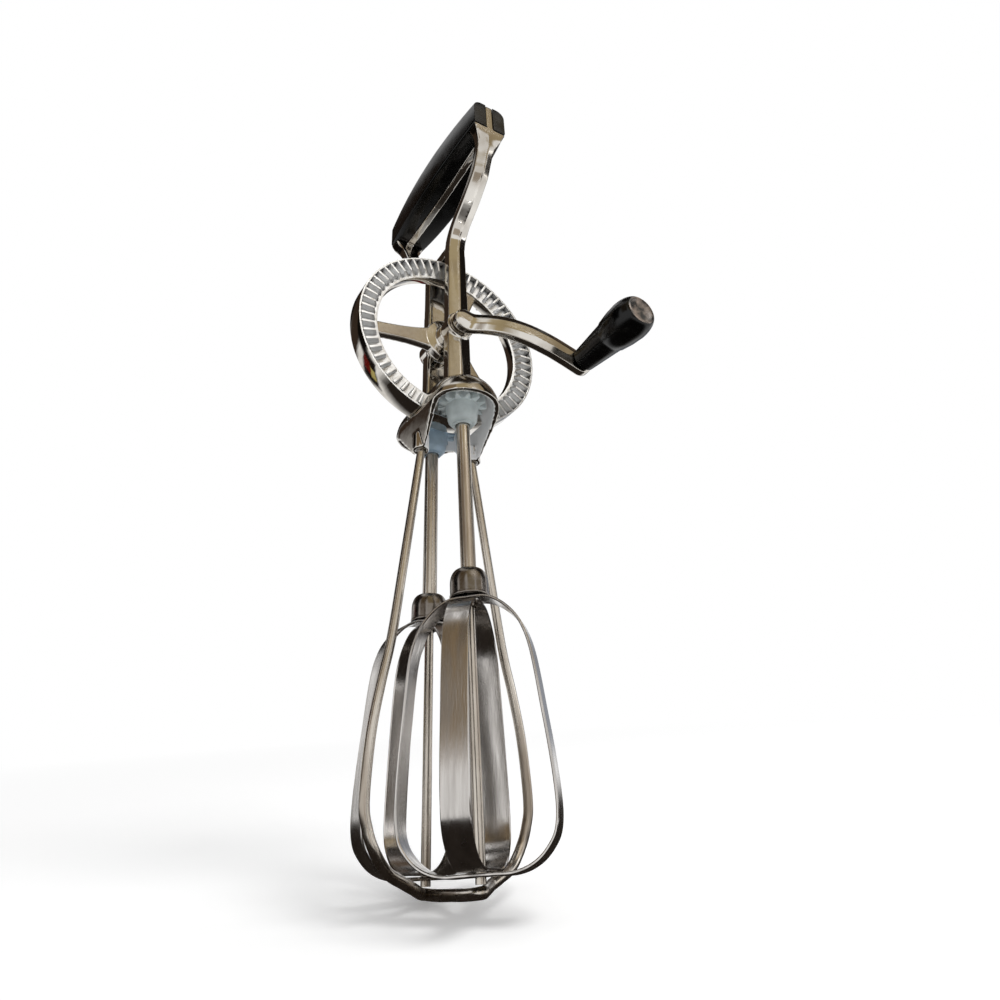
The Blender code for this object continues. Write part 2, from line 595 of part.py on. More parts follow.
def make_crank(material, pin_material, parent):
    """The ridged crank arm and the pin that carries the knob."""
    turn = [math.radians(angle) for angle in (80, 56, 28)]
    path = smooth_path([(CRANK_REACH * out, 0, CRANK_BACK + CRANK_RISE * up) for out, up in CRANK_PATH_SHARES], 2)
    low = path[-1].z
    stations = [(-CRANK_ROOT_R * math.sin(a), CRANK_ROOT_R * math.cos(a), CRANK_BACK) for a in turn]
    for point in path:
        share = point.x / CRANK_REACH
        end_r = CRANK_ROOT_R if share < 0.5 else CRANK_EYE_R
        half = CRANK_W / 2 + (end_r - CRANK_W / 2) * abs(2 * share - 1) ** 6
        stations.append((point.x, half, point.z))
    stations += [(CRANK_REACH + CRANK_EYE_R * math.sin(a), CRANK_EYE_R * math.cos(a), low)
                 for a in reversed(turn)]
    rings = []
    for x, half, back in stations:
        ridge = CRANK_RIDGE_H * min(half / CRANK_ROOT_R, 1)
        rings.append([(x, y, back + CRANK_T / 2 + z) for y, z in ridged(2 * half, CRANK_T, ridge, RIDGE_LAND)])
    arm = add_object("crank_arm", loft(rings), material, parent, rotation=(0, 0, CRANK_ANGLE), smooth=25)
    socket = rod(AXLE_R + GAP, CRANK_BACK - OVERRUN, CRANK_BACK + CRANK_SOCKET)
    combine(arm, add_object("crank_socket_cut", socket, parent=parent), "DIFFERENCE")
    high = low + CRANK_T + CRANK_RIDGE_H
    eye = Vector((CRANK_REACH * math.cos(CRANK_ANGLE), CRANK_REACH * math.sin(CRANK_ANGLE), 0))
    hole = rod(KNOB_PIN_R + GAP, low - OVERRUN, high + OVERRUN)
    combine(arm, add_object("eye_hole_cut", hole, parent=parent, location=eye), "DIFFERENCE")

    back = low - GAP
    tip = high + KNOB_PIN_GRIP
    pin = turned([(0, back - KNOB_PIN_HEAD_T), (KNOB_PIN_HEAD_R - KNOB_PIN_HEAD_T / 2, back - KNOB_PIN_HEAD_T),
                  (KNOB_PIN_HEAD_R, back - KNOB_PIN_HEAD_T / 2), (KNOB_PIN_HEAD_R, back), (KNOB_PIN_R, back),
                  (KNOB_PIN_R, tip), (0, tip)], SMALL_STEPS)
    add_object("knob_pin", pin, pin_material, parent, location=eye)
    return eye, high


def make_knob(material, parent, base):
    """The tapered knob, with a step ring, a round end with a dish, and a blind bore."""
    low = base + GAP
    end = low + KNOB_L
    step = low + KNOB_L * knob_step_share
    fat = low + KNOB_L * knob_fat_share
    bore_end = base + KNOB_PIN_GRIP + GAP
    bore_r = KNOB_PIN_R + GAP
    profile = [(bore_r, low), (KNOB_BASE_R, low), (KNOB_STEP_R, step - KNOB_STEP_H),
               (KNOB_STEP_R + KNOB_STEP_H, step), ((KNOB_STEP_R + KNOB_R) / 2 + KNOB_STEP_H, (step + fat) / 2)]
    for i in range(5):
        angle = math.radians(90) * i / 4
        profile.append((KNOB_DISH_R + (KNOB_R - KNOB_DISH_R) * math.cos(angle), fat + (end - fat) * math.sin(angle)))
    profile += [(KNOB_DISH_R * 0.7, end - KNOB_DISH_DEPTH), (0, end - KNOB_DISH_DEPTH)]
    profile = [(0, bore_end), (bore_r, bore_end)] + profile
    add_object("crank_knob", turned(profile), material, parent, smooth=40)


def make_pinion(name, material, parent, toward):
    """A pinion with a tooth pointing at the wheel, and its hub below the teeth."""
    tip, root = TOOTH_ARC * pinion_tip_share / PINION_TIP_R, TOOTH_ARC * pinion_root_share / PINION_ROOT_R
    outline = []
    for i in range(PINION_TEETH):
        middle = toward + math.tau * i / PINION_TEETH
        for radius, angle in ((PINION_ROOT_R, -root), (PINION_TIP_R, -tip), (PINION_TIP_R, tip), (PINION_ROOT_R, root)):
            outline.append((radius * math.cos(middle + angle), radius * math.sin(middle + angle)))
    pinion = add_object(name, prism(outline, TOOTH_LOW, TOOTH_HIGH), material, parent, smooth=0)
    hub_r = PINION_ROOT_R - GAP
    low_r = hub_r - PINION_HUB_TAPER
    collar_r = BORE_R + PINION_COLLAR_W
    profile = [(0, HUB_LOW), (collar_r, HUB_LOW)]
    for i in range(5):
        angle = math.radians(90) * i / 4
        profile.append((collar_r + (low_r - collar_r) * math.sin(angle),
                        HUB_LOW + PINION_COLLAR_W + PINION_HUB_ROUND * (1 - math.cos(angle))))
    profile += [(hub_r, TOOTH_LOW + GAP), (0, TOOTH_LOW + GAP)]
    hub = turned(profile)
    combine(pinion, add_object(f"{name}_hub_form", hub, parent=parent), "UNION")
    bore = rod(BORE_R, HUB_LOW - OVERRUN, TOOTH_HIGH + OVERRUN)
    combine(pinion, add_object(f"{name}_bore_cut", bore, parent=parent), "DIFFERENCE")


def make_cap(name, material, parent):
    """The domed ferrule that ties the blades to the tube, open below."""
    dome = CAP_H / 2
    outer = [(CAP_R + CAP_LIP, CAP_LOW), (CAP_R + CAP_LIP, CAP_LOW + CAP_LIP_H), (CAP_R, CAP_LOW + CAP_LIP_H)]
    inner = [(CAP_R - CAP_WALL, CAP_LOW)]
    for i in range(5):
        angle = math.radians(90) * i / 4
        outer.append((BORE_R + CAP_WALL + (CAP_R - BORE_R - CAP_WALL) * math.cos(angle),
                      CAP_TOP - dome * (1 - math.sin(angle))))
        inner.append((BORE_R + (CAP_R - CAP_WALL - BORE_R) * math.cos(angle),
                      CAP_TOP - CAP_WALL - dome * (1 - math.sin(angle))))
    outer.append((BORE_R, CAP_TOP))
    add_object(name, turned(outer + inner[::-1], 24), material, parent)


def make_blade(name, material, parent, angle, inset):
    """A flat strip bent to a closed loop round the rod, pierced top and bottom."""
    low, high = BLADE_LOW + inset, BLADE_TOP - inset
    half = [(BLADE_R * out, low + (high - low) * up) for out, up in BLADE_OUTLINE_SHARES]
    line = [Vector((x, 0, z)) for x, z in half] + [Vector((-x, 0, z)) for x, z in half[-2:0:-1]]
    bm = bmesh.new()
    loops = []
    for i, point in enumerate(line):
        along = (line[(i + 1) % len(line)] - line[i - 1]).normalized()
        inward = Vector((-along.z, 0, along.x)) * BLADE_T
        side = Vector((0, BLADE_W / 2, 0))
        loops.append([bm.verts.new(p) for p in (point - side, point + side, point + side + inward,
                                                point - side + inward)])
    for a, b in zip(loops, loops[1:] + loops[:1]):
        for i in range(4):
            bm.faces.new((a[i - 1], a[i], b[i], b[i - 1]))
    blade = add_object(name, bm, material, parent, rotation=(0, 0, angle), smooth=35)
    for label, radius, z in (("top", BORE_R, high), ("foot", ROD_R + BLADE_HOLE_CLEAR, low)):
        hole = rod(radius, z - OVERRUN, z + OVERRUN)
        combine(blade, add_object(f"{name}_{label}_hole_cut", hole, parent=parent), "DIFFERENCE")


def make_beater(label, side, angles, materials):
    """One beater on its leaning axis: pinion, tube, cap and two crossed blades."""
    pivot = add_empty(f"{label}_beater_axis", on_beater_axis(side, 0), (side * SPLAY, 0, 0))
    make_pinion(f"{label}_pinion", materials["pinion"], pivot, -side * math.pi / 2)
    tube = turned([(TUBE_R - TUBE_WALL, TUBE_LOW), (TUBE_R, TUBE_LOW), (TUBE_R, TOOTH_HIGH - GAP),
                   (TUBE_R - TUBE_WALL, TOOTH_HIGH - GAP)], 24)
    add_object(f"{label}_tube", tube, materials["steel"], pivot)
    make_cap(f"{label}_cap", materials["cap"], pivot)
    make_blade(f"{label}_outer_blade", materials["blade"], pivot, angles[0], 0.0)
    make_blade(f"{label}_inner_blade", materials["blade"], pivot, angles[1], BLADE_STEP)


def make_wire_frame(material):
    """The wire loop below the casting, and the rods that stand on it."""
    blade_foot = on_beater_axis(1, BLADE_LOW)
    wire_z = blade_foot.z - WIRE_BELOW_BLADES
    rod_y = on_beater_axis(1, BLADE_LOW - WIRE_BELOW_BLADES).y
    leg_h = WIRE_TOP_Z - blade_foot.z
    leg = [(-WIRE_TOP_SPREAD - (WIRE_SPREAD - WIRE_TOP_SPREAD) * out, 0, WIRE_TOP_Z - leg_h * down)
           for out, down in LEG_SHARES]
    foot = [(-WIRE_SPREAD * x, rod_y * y, blade_foot.z - WIRE_BELOW_BLADES * z) for x, y, z in FOOT_SHARES]
    top = Vector((WIRE_TOP_SPREAD, 0, WIRE_TOP_Z + WIRE_SOCKET - GAP))
    half = leg + foot + [(0, rod_y, wire_z), (0, rod_y / 2, wire_z - WIRE_SAG)]
    other = [(-x, -y, z) for x, y, z in reversed(half)]
    path = smooth_path(half + [(0, 0, wire_z - WIRE_SAG)] + other, 2)
    path = [Vector((-top.x, 0, top.z))] + path + [top]

    curve = bpy.data.curves.new("wire_frame", "CURVE")
    curve.dimensions = "3D"
    curve.bevel_depth = WIRE_R
    curve.bevel_resolution = 2
    curve.use_fill_caps = True
    spline = curve.splines.new("POLY")
    spline.points.add(len(path) - 1)
    for point, place in zip(spline.points, path):
        point.co = (*place, 1)
    curve.materials.append(material)
    bpy.context.collection.objects.link(bpy.data.objects.new("wire_frame", curve))

    for side, label in ((-1, "near"), (1, "far")):
        low = BLADE_LOW - WIRE_BELOW_BLADES + WIRE_R + GAP
        bm = rod(ROD_R, low, TOOTH_HIGH + PIVOT_BOSS_L - GAP)
        add_object(f"{label}_pivot_rod", bm, material, location=on_beater_axis(side, 0),
                   rotation=(side * SPLAY, 0, 0))


def main():
    empty_scene()
    chrome = finish("chrome_plate", (0.62, 0.60, 0.57), 0.12, 1.0)
    zinc = finish("plated_zinc", (0.66, 0.67, 0.68), 0.28, 1.0)
    steel = finish("polished_steel", (0.60, 0.57, 0.53), 0.22, 1.0)
    stainless = finish("stainless_strip", (0.64, 0.62, 0.60), 0.24, 1.0)
    cap = finish("darkened_steel", (0.14, 0.13, 0.12), 0.30, 0.9)
    plastic = finish("black_plastic", (0.012, 0.012, 0.013), 0.10, 0.0)
    pale = finish("pale_nylon", (0.42, 0.47, 0.47), 0.42, 0.0)
    blue = finish("blue_grey_nylon", (0.26, 0.34, 0.40), 0.42, 0.0)

    make_frame(chrome)
    make_grip(plastic, steel)
    make_wire_frame(steel)

    drive = add_empty("drive_axis", (0, 0, AXLE_Z), (math.radians(90), 0, 0))
    make_wheel(zinc, drive)
    make_axle(steel, steel, drive)
    eye, crank_front = make_crank(chrome, steel, drive)
    knob_axis = add_empty("knob_axis", eye, parent=drive)
    make_knob(plastic, knob_axis, crank_front)

    shared = {"steel": steel, "cap": cap, "blade": stainless}
    make_beater("near", -1, NEAR_BLADE_ANGLES, {**shared, "pinion": pale})
    make_beater("far", 1, FAR_BLADE_ANGLES, {**shared, "pinion": blue})


main()
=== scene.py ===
"""Looks of a hand-cranked rotary egg beater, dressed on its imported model.

The sizes and colours are in property groups, each group of like pieces has an
operator, and a panel in the 3D view's sidebar lists them. Metres, +Z up, with
the middle of the hand grip at the origin and the crank on the -Y side.
"""

import json
import math
from types import SimpleNamespace

import bmesh
import bpy
from bpy.props import FloatProperty, FloatVectorProperty, PointerProperty
from mathutils import Matrix, Vector


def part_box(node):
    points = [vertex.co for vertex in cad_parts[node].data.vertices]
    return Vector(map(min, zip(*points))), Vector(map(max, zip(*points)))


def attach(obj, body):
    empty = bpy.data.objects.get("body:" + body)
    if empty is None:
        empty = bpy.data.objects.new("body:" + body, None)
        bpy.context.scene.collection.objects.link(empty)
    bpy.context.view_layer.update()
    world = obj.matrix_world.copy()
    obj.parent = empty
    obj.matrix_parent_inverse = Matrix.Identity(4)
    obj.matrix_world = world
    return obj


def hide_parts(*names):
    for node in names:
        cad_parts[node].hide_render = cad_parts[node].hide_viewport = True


bl_info = {
    "name": "Rotary Egg Beater",
    "version": (1, 0, 0),
    "blender": (4, 5, 0),
    "location": "View3D > Sidebar > Egg Beater",
    "description": "Builds the visible pieces of a hand-cranked egg beater and its studio",
    "category": "Object",
}

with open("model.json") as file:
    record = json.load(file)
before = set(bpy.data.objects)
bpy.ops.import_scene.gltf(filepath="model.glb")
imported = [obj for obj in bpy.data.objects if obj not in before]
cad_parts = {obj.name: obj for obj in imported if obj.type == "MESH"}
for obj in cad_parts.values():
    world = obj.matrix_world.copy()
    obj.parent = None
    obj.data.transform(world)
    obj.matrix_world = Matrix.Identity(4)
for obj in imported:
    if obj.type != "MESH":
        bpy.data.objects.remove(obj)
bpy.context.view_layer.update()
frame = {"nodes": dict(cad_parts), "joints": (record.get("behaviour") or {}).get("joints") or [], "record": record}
JOINTS = {joint["name"]: joint for joint in frame["joints"]}
AXLE_Z = JOINTS["wheel_spin"]["pos_m"][2]
MIDDLE = Vector((0, 0, -0.14))
WELD = 0.00001
QUARTER = math.pi / 2


def linear(code):
    """Linear colour of an sRGB hex value."""
    parts = [int(code[i:i + 2], 16) / 255 for i in (1, 3, 5)]
    return [p / 12.92 if p <= 0.04045 else ((p + 0.055) / 1.055) ** 2.4 for p in parts]


def mm(value):
    """Metres from millimetres."""
    return value / 1000


def length(name, millimetres, description):
    """A length setting, shown in the scene's own unit."""
    return FloatProperty(name=name, description=description, default=mm(millimetres),
                         unit="LENGTH", precision=5)


def power(name, watts, description):
    """A lamp's power."""
    return FloatProperty(name=name, description=description, default=watts, unit="POWER")


def degrees(name, value, description):
    """An angle setting, given in degrees."""
    return FloatProperty(name=name, description=description, default=math.radians(value),
                         unit="ROTATION")


def tint(name, code, description):
    """A colour setting."""
    return FloatVectorProperty(name=name, description=description, default=linear(code),
                               subtype="COLOR", min=0, max=1)


# ---------------------------------------------------------------- settings


class CastingSizes(bpy.types.PropertyGroup):
    column_t: length("Column depth", 4.5, "Depth of a column along the axle")
    column_w: length("Column width", 7.5, "Width of a column seen from the crank")
    column_foot_w: length("Column foot", 10.0, "Width of a column where it meets the hood")
    ridge_h: length("Ridge height", 1.4, "How far the ridge stands out of a column or arm")
    ridge_land: length("Ridge land", 0.3, "Half width of the flat on top of the ridge")
    chamfer: length("Edge chamfer", 0.7, "Chamfer on the casting's long edges")
    bridge_h: length("Bridge height", 4.1, "Height of the bridge over the wheel")
    bridge_clear: length("Bridge clearance", 1.5, "Gap between the wheel's top and the bridge")
    boss_r: length("Axle boss radius", 5.6, "Radius of the round boss at the axle")
    boss_rise: length("Axle boss rise", 0.3, "How far the boss stands past the ridge")
    arm_w: length("Arm width", 7.2, "Width of an arm seen from the crank")
    arm_t: length("Arm depth", 4.2, "Thickness of an arm seen from the side")
    bolster_w: length("Bolster width", 14.6, "Width of the bolster under the grip's end")
    bolster_t: length("Bolster depth", 6.0, "Length of the bolster along the grip")
    tang_t: length("Tang thickness", 3.2, "Thickness of the web between the grip's halves")
    tang_proud: length("Tang edge", 0.6, "How far the web shows under the grip")
    hood_wall: length("Hood wall", 2.0, "Wall of the hood over the pinions")
    hood_clear: length("Hood clearance", 2.7, "Gap between a pinion and the hood")
    hood_drop: length("Hood drop", 0.5, "Depth of the hood's middle under the wheel")
    hood_rim_rise: length("Hood rim rise", 1.0, "Height of the hood's rim over its middle")
    hood_taper: length("Hood taper", 2.2, "How much the hood draws in towards its lug")
    lug_drop: length("Lug depth", 12.2, "Depth of the lug under the hood's middle")
    lug_half_w: length("Lug half width", 4.4, "Half the lug's width along the axle")
    lug_slope_run: length("Lug slope run", 10.6, "Length of the lug's sloping edge along the axle")
    lug_slope_rise: length("Lug slope rise", 12.2, "Height of the lug's sloping edge")
    pivot_boss_r: length("Rod boss radius", 3.4, "Radius of the boss that holds a fixed rod")
    pivot_boss_l: length("Rod boss length", 6.2, "Length of the boss that holds a fixed rod")
    wire_boss_r: length("Wire boss radius", 3.1, "Radius of the boss that holds a wire end")
    wire_boss_l: length("Wire boss length", 6.6, "Length of the boss that holds a wire end")
    wire_boss_proud: length("Wire boss edge", 0.6, "How far a wire boss shows under the lug")
    skin: length("Cast skin", 0.38, "Finest step of the casting's rounded edges")


class GearSizes(bpy.types.PropertyGroup):
    wheel_r: length("Wheel radius", 38.1, "Radius of the crown wheel")
    tooth_band: length("Tooth band", 7.1, "Width of the toothed ring")
    bore_wall: length("Inner wall", 1.0, "Wall inside the toothed ring")
    tooth_h: length("Tooth height", 2.5, "Height of the wheel's teeth")
    tooth_end_slope: length("Tooth end slope", 1.4, "Slope at a tooth's inner end")
    rim_t: length("Ring thickness", 4.4, "Thickness of the ring under its teeth")
    lip_t: length("Lip thickness", 0.7, "Wall that closes the teeth's outer ends")
    lip_h: length("Lip height", 2.2, "Height of that wall over the ring")
    spoke_w: length("Spoke width", 5.4, "Width of a spoke at the ring")
    spoke_root_w: length("Spoke root width", 10.4, "Width of a spoke at the hub")
    spoke_t: length("Spoke thickness", 3.4, "Thickness of a spoke")
    hub_r: length("Hub radius", 5.6, "Radius of the wheel's hub")
    hub_flange_r: length("Hub flange radius", 9.3, "Radius of the swell round the hub")
    hub_flange_t: length("Hub flange thickness", 5.2, "Thickness of that swell")
    side_clear: length("Side clearance", 1.5, "Gap between the teeth and a column")
    edge_clear: length("Edge clearance", 1.2, "Gap round the wheel inside the hood")
    axle_r: length("Axle radius", 2.5, "Radius of the axle")
    addendum: length("Pinion tooth tip", 1.2, "Height of a pinion's tooth over its pitch line")
    dedendum: length("Pinion tooth root", 1.3, "Depth of a pinion's tooth under its pitch line")
    root_clear: length("Mesh clearance", 0.6, "Gap between a pinion's tip and the ring")
    pinion_face: length("Pinion face", 5.0, "Length of a pinion's teeth")
    pinion_lip_clear: length("Pinion lip gap", 0.4, "Gap between a pinion and the wheel's lip")
    pinion_hub_l: length("Pinion hub length", 7.8, "Length of a pinion's hub under its teeth")
    pinion_hub_taper: length("Pinion hub taper", 0.6, "How much the hub narrows")
    pinion_hub_round: length("Pinion hub round", 2.6, "Height of the hub's round end")
    tooth_edge: length("Tooth edge", 0.22, "Rounding of the wheel's teeth")
    pinion_edge: length("Pinion edge", 0.16, "Rounding of a pinion's teeth")
    spider_skin: length("Spider skin", 0.3, "Finest step of the spokes' rounded edges")
    pinion_collar_w: length("Pinion collar", 0.7, "Wall of the hub round its tube")


class HandleSizes(bpy.types.PropertyGroup):
    grip_l: length("Grip length", 82.0, "Length of the hand grip")
    grip_half_w: length("Grip half width", 9.8, "Half the grip's width at its middle")
    grip_end_half_w: length("Grip end half width", 7.4, "Half the grip's width at its ends")
    grip_top: length("Grip crown", 9.6, "Height of the grip's top at its middle")
    grip_end_top: length("Grip end crown", 8.2, "Height of the grip's top at its ends")
    grip_bottom: length("Grip belly", 8.2, "Depth of the grip at its middle")
    grip_end_bottom: length("Grip end belly", 6.0, "Depth of the grip at its ends")
    grip_round: length("Grip rounding", 3.8, "Radius of the grip's upper edges")
    grip_corner: length("Grip corner", 0.9, "Radius of the grip's lower edges")
    grip_edge: length("Grip edge", 0.4, "Rounding of the edges of a grip half")
    crank_reach: length("Crank reach", 45.1, "From the axle to the knob's pin")
    crank_rise: length("Crank rise", 12.4, "How far the crank bows out past the hood")
    crank_w: length("Crank width", 9.1, "Width of the crank")
    crank_root_r: length("Crank root radius", 4.6, "Radius of the crank's root")
    crank_eye_r: length("Crank eye radius", 4.7, "Radius of the crank's outer end")
    crank_t: length("Crank thickness", 3.0, "Thickness of the crank at its edges")
    crank_ridge_h: length("Crank ridge", 1.2, "Height of the ridge along the crank")
    crank_skin: length("Crank skin", 0.26, "Finest step of the crank's rounded edges")
    crank_socket: length("Crank socket", 2.2, "Depth of the axle's socket in the crank")
    knob_pin_r: length("Knob pin radius", 1.9, "Radius of the hole for the knob's pin")
    washer_t: length("Washer thickness", 0.5, "Thickness of the washer under the crank")
    knob_l: length("Knob length", 33.5, "Length of the knob")
    knob_base_r: length("Knob base radius", 4.7, "Radius of the knob beside the crank")
    knob_step_r: length("Knob step radius", 6.3, "Radius of the knob at its step ring")
    knob_edge: length("Knob edge", 0.4, "Chamfer beside the crank")
    knob_groove: length("Knob groove", 1.4, "Length of the groove under the step ring")
    knob_flare: length("Knob flare", 0.1, "How much the groove opens towards the ring")
    knob_step_h: length("Knob step height", 0.4, "Height of the step ring")
    knob_r: length("Knob radius", 7.8, "Largest radius of the knob")
    knob_dish_r: length("Knob dish radius", 5.0, "Radius of the dish in the knob's end")
    knob_dish_depth: length("Knob dish depth", 1.1, "Depth of that dish")


class WhiskSizes(bpy.types.PropertyGroup):
    gap: length("Gap", 0.3, "Gap between pieces that touch")
    tube_r: length("Tube radius", 2.38, "Radius of a beater's tube")
    tube_wall: length("Tube wall", 0.6, "Wall of a beater's tube")
    tube_span: length("Tube span", 52.5, "Bare tube between pinion and cap")
    cap_r: length("Cap radius", 5.86, "Radius of the cap over the blades")
    cap_h: length("Cap height", 8.6, "Height of the cap")
    cap_wall: length("Cap wall", 0.8, "Wall of the cap")
    cap_lip: length("Cap lip", 0.2, "How far the cap's rolled lip stands out")
    cap_lip_h: length("Cap lip height", 0.9, "Height of the cap's lip")
    blade_h: length("Blade height", 69.8, "Height of the outer blade")
    blade_r: length("Blade radius", 21.6, "Reach of a blade from its rod")
    blade_w: length("Blade width", 7.5, "Width of the strip")
    blade_t: length("Blade thickness", 0.8, "Thickness of the strip")
    rod_r: length("Rod radius", 1.4, "Radius of a fixed rod")
    rod_clear: length("Rod clearance", 0.4, "Gap between a rod and the blade round it")
    wire_r: length("Wire radius", 1.45, "Radius of the wire loop")
    wire_top_spread: length("Wire top spread", 10.2, "From the middle to a leg's upper end")
    wire_spread: length("Wire spread", 25.4, "From the middle to a leg's widest point")
    wire_below: length("Wire under blades", 3.2, "From the blades' foot to the wire's middle")
    wire_sag: length("Wire sag", 0.3, "Extra depth of the loop's middle")
    wire_socket: length("Wire socket", 4.8, "Depth of a wire end in its boss")


class FinishColours(bpy.types.PropertyGroup):
    plate: tint("Bright plate", "#d6d2cb", "Chrome plate on the casting and the crank")
    plate_shade: tint("Plate haze", "#b3aca2", "Handled and hazy places on the plate")
    zinc: tint("Plated teeth", "#d9dadb", "Plated zinc of the wheel")
    # Dark zinc: random mottles on the unpolished casting, and painted shade in the gaps between the wheel's teeth
    zinc_shade: tint("Grimy plate", "#2e2d2d", "Grime between the teeth")
    steel: tint("Drawn steel", "#cdc6bc", "Tubes, rods, wire and pins")
    steel_shade: tint("Worn steel", "#9c9082", "Rubbed streaks along the wire and tubes")
    strip: tint("Rolled strip", "#d0ccc8", "Stainless strip of the blades")
    strip_shade: tint("Strip streaks", "#a5a19d", "Dark rolling streaks")
    cap: tint("Dark nickel", "#7f7973", "The caps over the blades")
    black: tint("Black moulding", "#040404", "Hand grip and knob")
    black_worn: tint("Worn moulding", "#8d7d70", "The knob's rubbed end")
    pale_nylon: tint("Pale nylon", "#b7c0c0", "The near pinion")
    blue_nylon: tint("Blue-grey nylon", "#9fb4c4", "The far pinion")
    floor: tint("Floor", "#ffffff", "Floor and backdrop")


class StageSettings(bpy.types.PropertyGroup):
    key: power("Key light", 5.0, "Power of the large soft lamp in front")
    fill: power("Fill light", 1.5, "Power of the soft lamp on the right")
    front: power("Front light", 0.6, "Power of the small lamp by the camera")
    sky: FloatProperty(name="Room light", description="Strength of the even light from all round",
                       default=0.55)
    floor_tilt: degrees("Floor tilt", 12, "Tilt of the floor towards the camera")
    floor_lift: FloatProperty(name="Floor lift", default=0.22,
                              description="Light that the seen floor adds to its own")
    dark_floor: length("Dark card", 700, "Side of the dark card that mirrors show under the tool")
    place: FloatVectorProperty(name="Camera place", description="Where the camera stands",
                               default=(-0.1092, -0.2004, -0.26772), unit="LENGTH", precision=5)
    shift: FloatVectorProperty(name="Camera shift", description="Frame's shift, in frame widths",
                               size=2, default=(0.0096, -0.1056), precision=4)
    lens: FloatProperty(name="Lens", description="Focal length on a 36 mm sensor, in millimetres",
                        default=26.278)
    yaw: degrees("Camera yaw", 32.74, "Turn from +Y towards +X")
    pitch: degrees("Camera pitch", 33.53, "Tilt above the horizon")
    roll: degrees("Camera roll", -2.94, "Roll about the line of sight")


GROUPS = {
    "egg_beater_casting": CastingSizes,
    "egg_beater_gears": GearSizes,
    "egg_beater_handles": HandleSizes,
    "egg_beater_whisk": WhiskSizes,
    "egg_beater_colours": FinishColours,
    "egg_beater_stage": StageSettings,
}

SIDES = (-1, 1)
LABELS = ("near", "far")
# Centreline of an arm: share of its reach past the column, share of its drop
ARM_PATH_SHARES = [(1.0, 0.0), (0.985, 0.06), (0.94, 0.13), (0.877, 0.216), (0.80, 0.33),
                   (0.713, 0.438), (0.474, 0.598), (0.20, 0.741), (0.05, 0.87), (0.0, 1.0)]
# Share of the way from the arm's own section to the bolster's, at the same points
ARM_FLARE_SHARES = [1.0, 0.68, 0.24, 0.05, 0.0, 0.0, 0.0, 0.0, 0.0, 0.0]
# An arm keeps its own section for so many of the points above, then it turns into its column's
ARM_PLAIN_POINTS = 2.5
# The dome over the pinions stops just short of its top, so its last ring still has a width
DOME_ANGLE = math.radians(88)
# The crank's back: share of the reach, share of the rise past the columns and hood
CRANK_PATH_SHARES = [(0.0, 0.0), (0.06, 0.05), (0.172, 0.38), (0.29, 0.645), (0.468, 0.865),
                     (0.66, 0.975), (0.82, 1.0), (0.90, 1.0), (1.0, 1.0)]
# Places round each end of the crank, in degrees, where 90 would be its very tip
CRANK_END_ANGLES = (86, 75, 60, 45, 30, 15)
# How sharply the crank swells towards its ends
CRANK_SWELL = 6
# The knob's dish: places down its slope, in radians, how full it is, and how far its wear reaches
DISH_ANGLES, DISH_FULLNESS, DISH_WEAR = (0.15, 0.4, 0.7, 1.0, 1.3), 0.8, 1.12
# Half of a blade's outline: share of its radius, share of its height
BLADE_OUTLINE_SHARES = [(0.0, 0.0), (0.20, 0.0), (0.40, 0.0), (0.58, 0.012), (0.74, 0.037),
                        (0.87, 0.075), (0.96, 0.120), (1.0, 0.19), (0.995, 0.29), (0.965, 0.41),
                        (0.92, 0.54), (0.88, 0.66), (0.835, 0.76), (0.77, 0.835), (0.665, 0.90),
                        (0.50, 0.955), (0.33, 0.988), (0.18, 1.0), (0.0, 1.0)]
# One leg of the wire: share of the way out, share of the way down
LEG_SHARES = [(0.0, 0.0), (0.346, 0.31), (0.582, 0.514), (0.771, 0.621), (0.928, 0.728),
              (1.0, 0.855), (0.92, 0.909), (0.77, 0.949)]
# Foot of a leg: shares of the spread, of the rod's distance and of the drop to the wire
FOOT_SHARES = [(0.69, 0.12, -0.62), (0.453, 0.35, 0.10), (0.30, 0.47, 0.55), (0.138, 0.74, 0.90)]
WHEEL_TEETH, PINION_TEETH, SPOKES = 60, 13, 3
SPOKE_ANGLE = math.radians(188)
# Half of a tooth at its tip and at its root, as shares of the tooth pitch
WHEEL_TIP_SHARE, WHEEL_ROOT_SHARE = 0.117, 0.235
PINION_TIP_SHARE, PINION_ROOT_SHARE = 0.116, 0.29
KNOB_STEP_SHARE, KNOB_FAT_SHARE = 0.52, 0.79
BLADE_EDGE_SHARE = 0.3
# A face counts as looking along a direction when the cosine between them is over this
FACING = 0.3
CRANK_ANGLE = math.radians(-17.5)
BLADE_ANGLES = {"near": (math.radians(-45), math.radians(45)), "far": (0.0, QUARTER)}


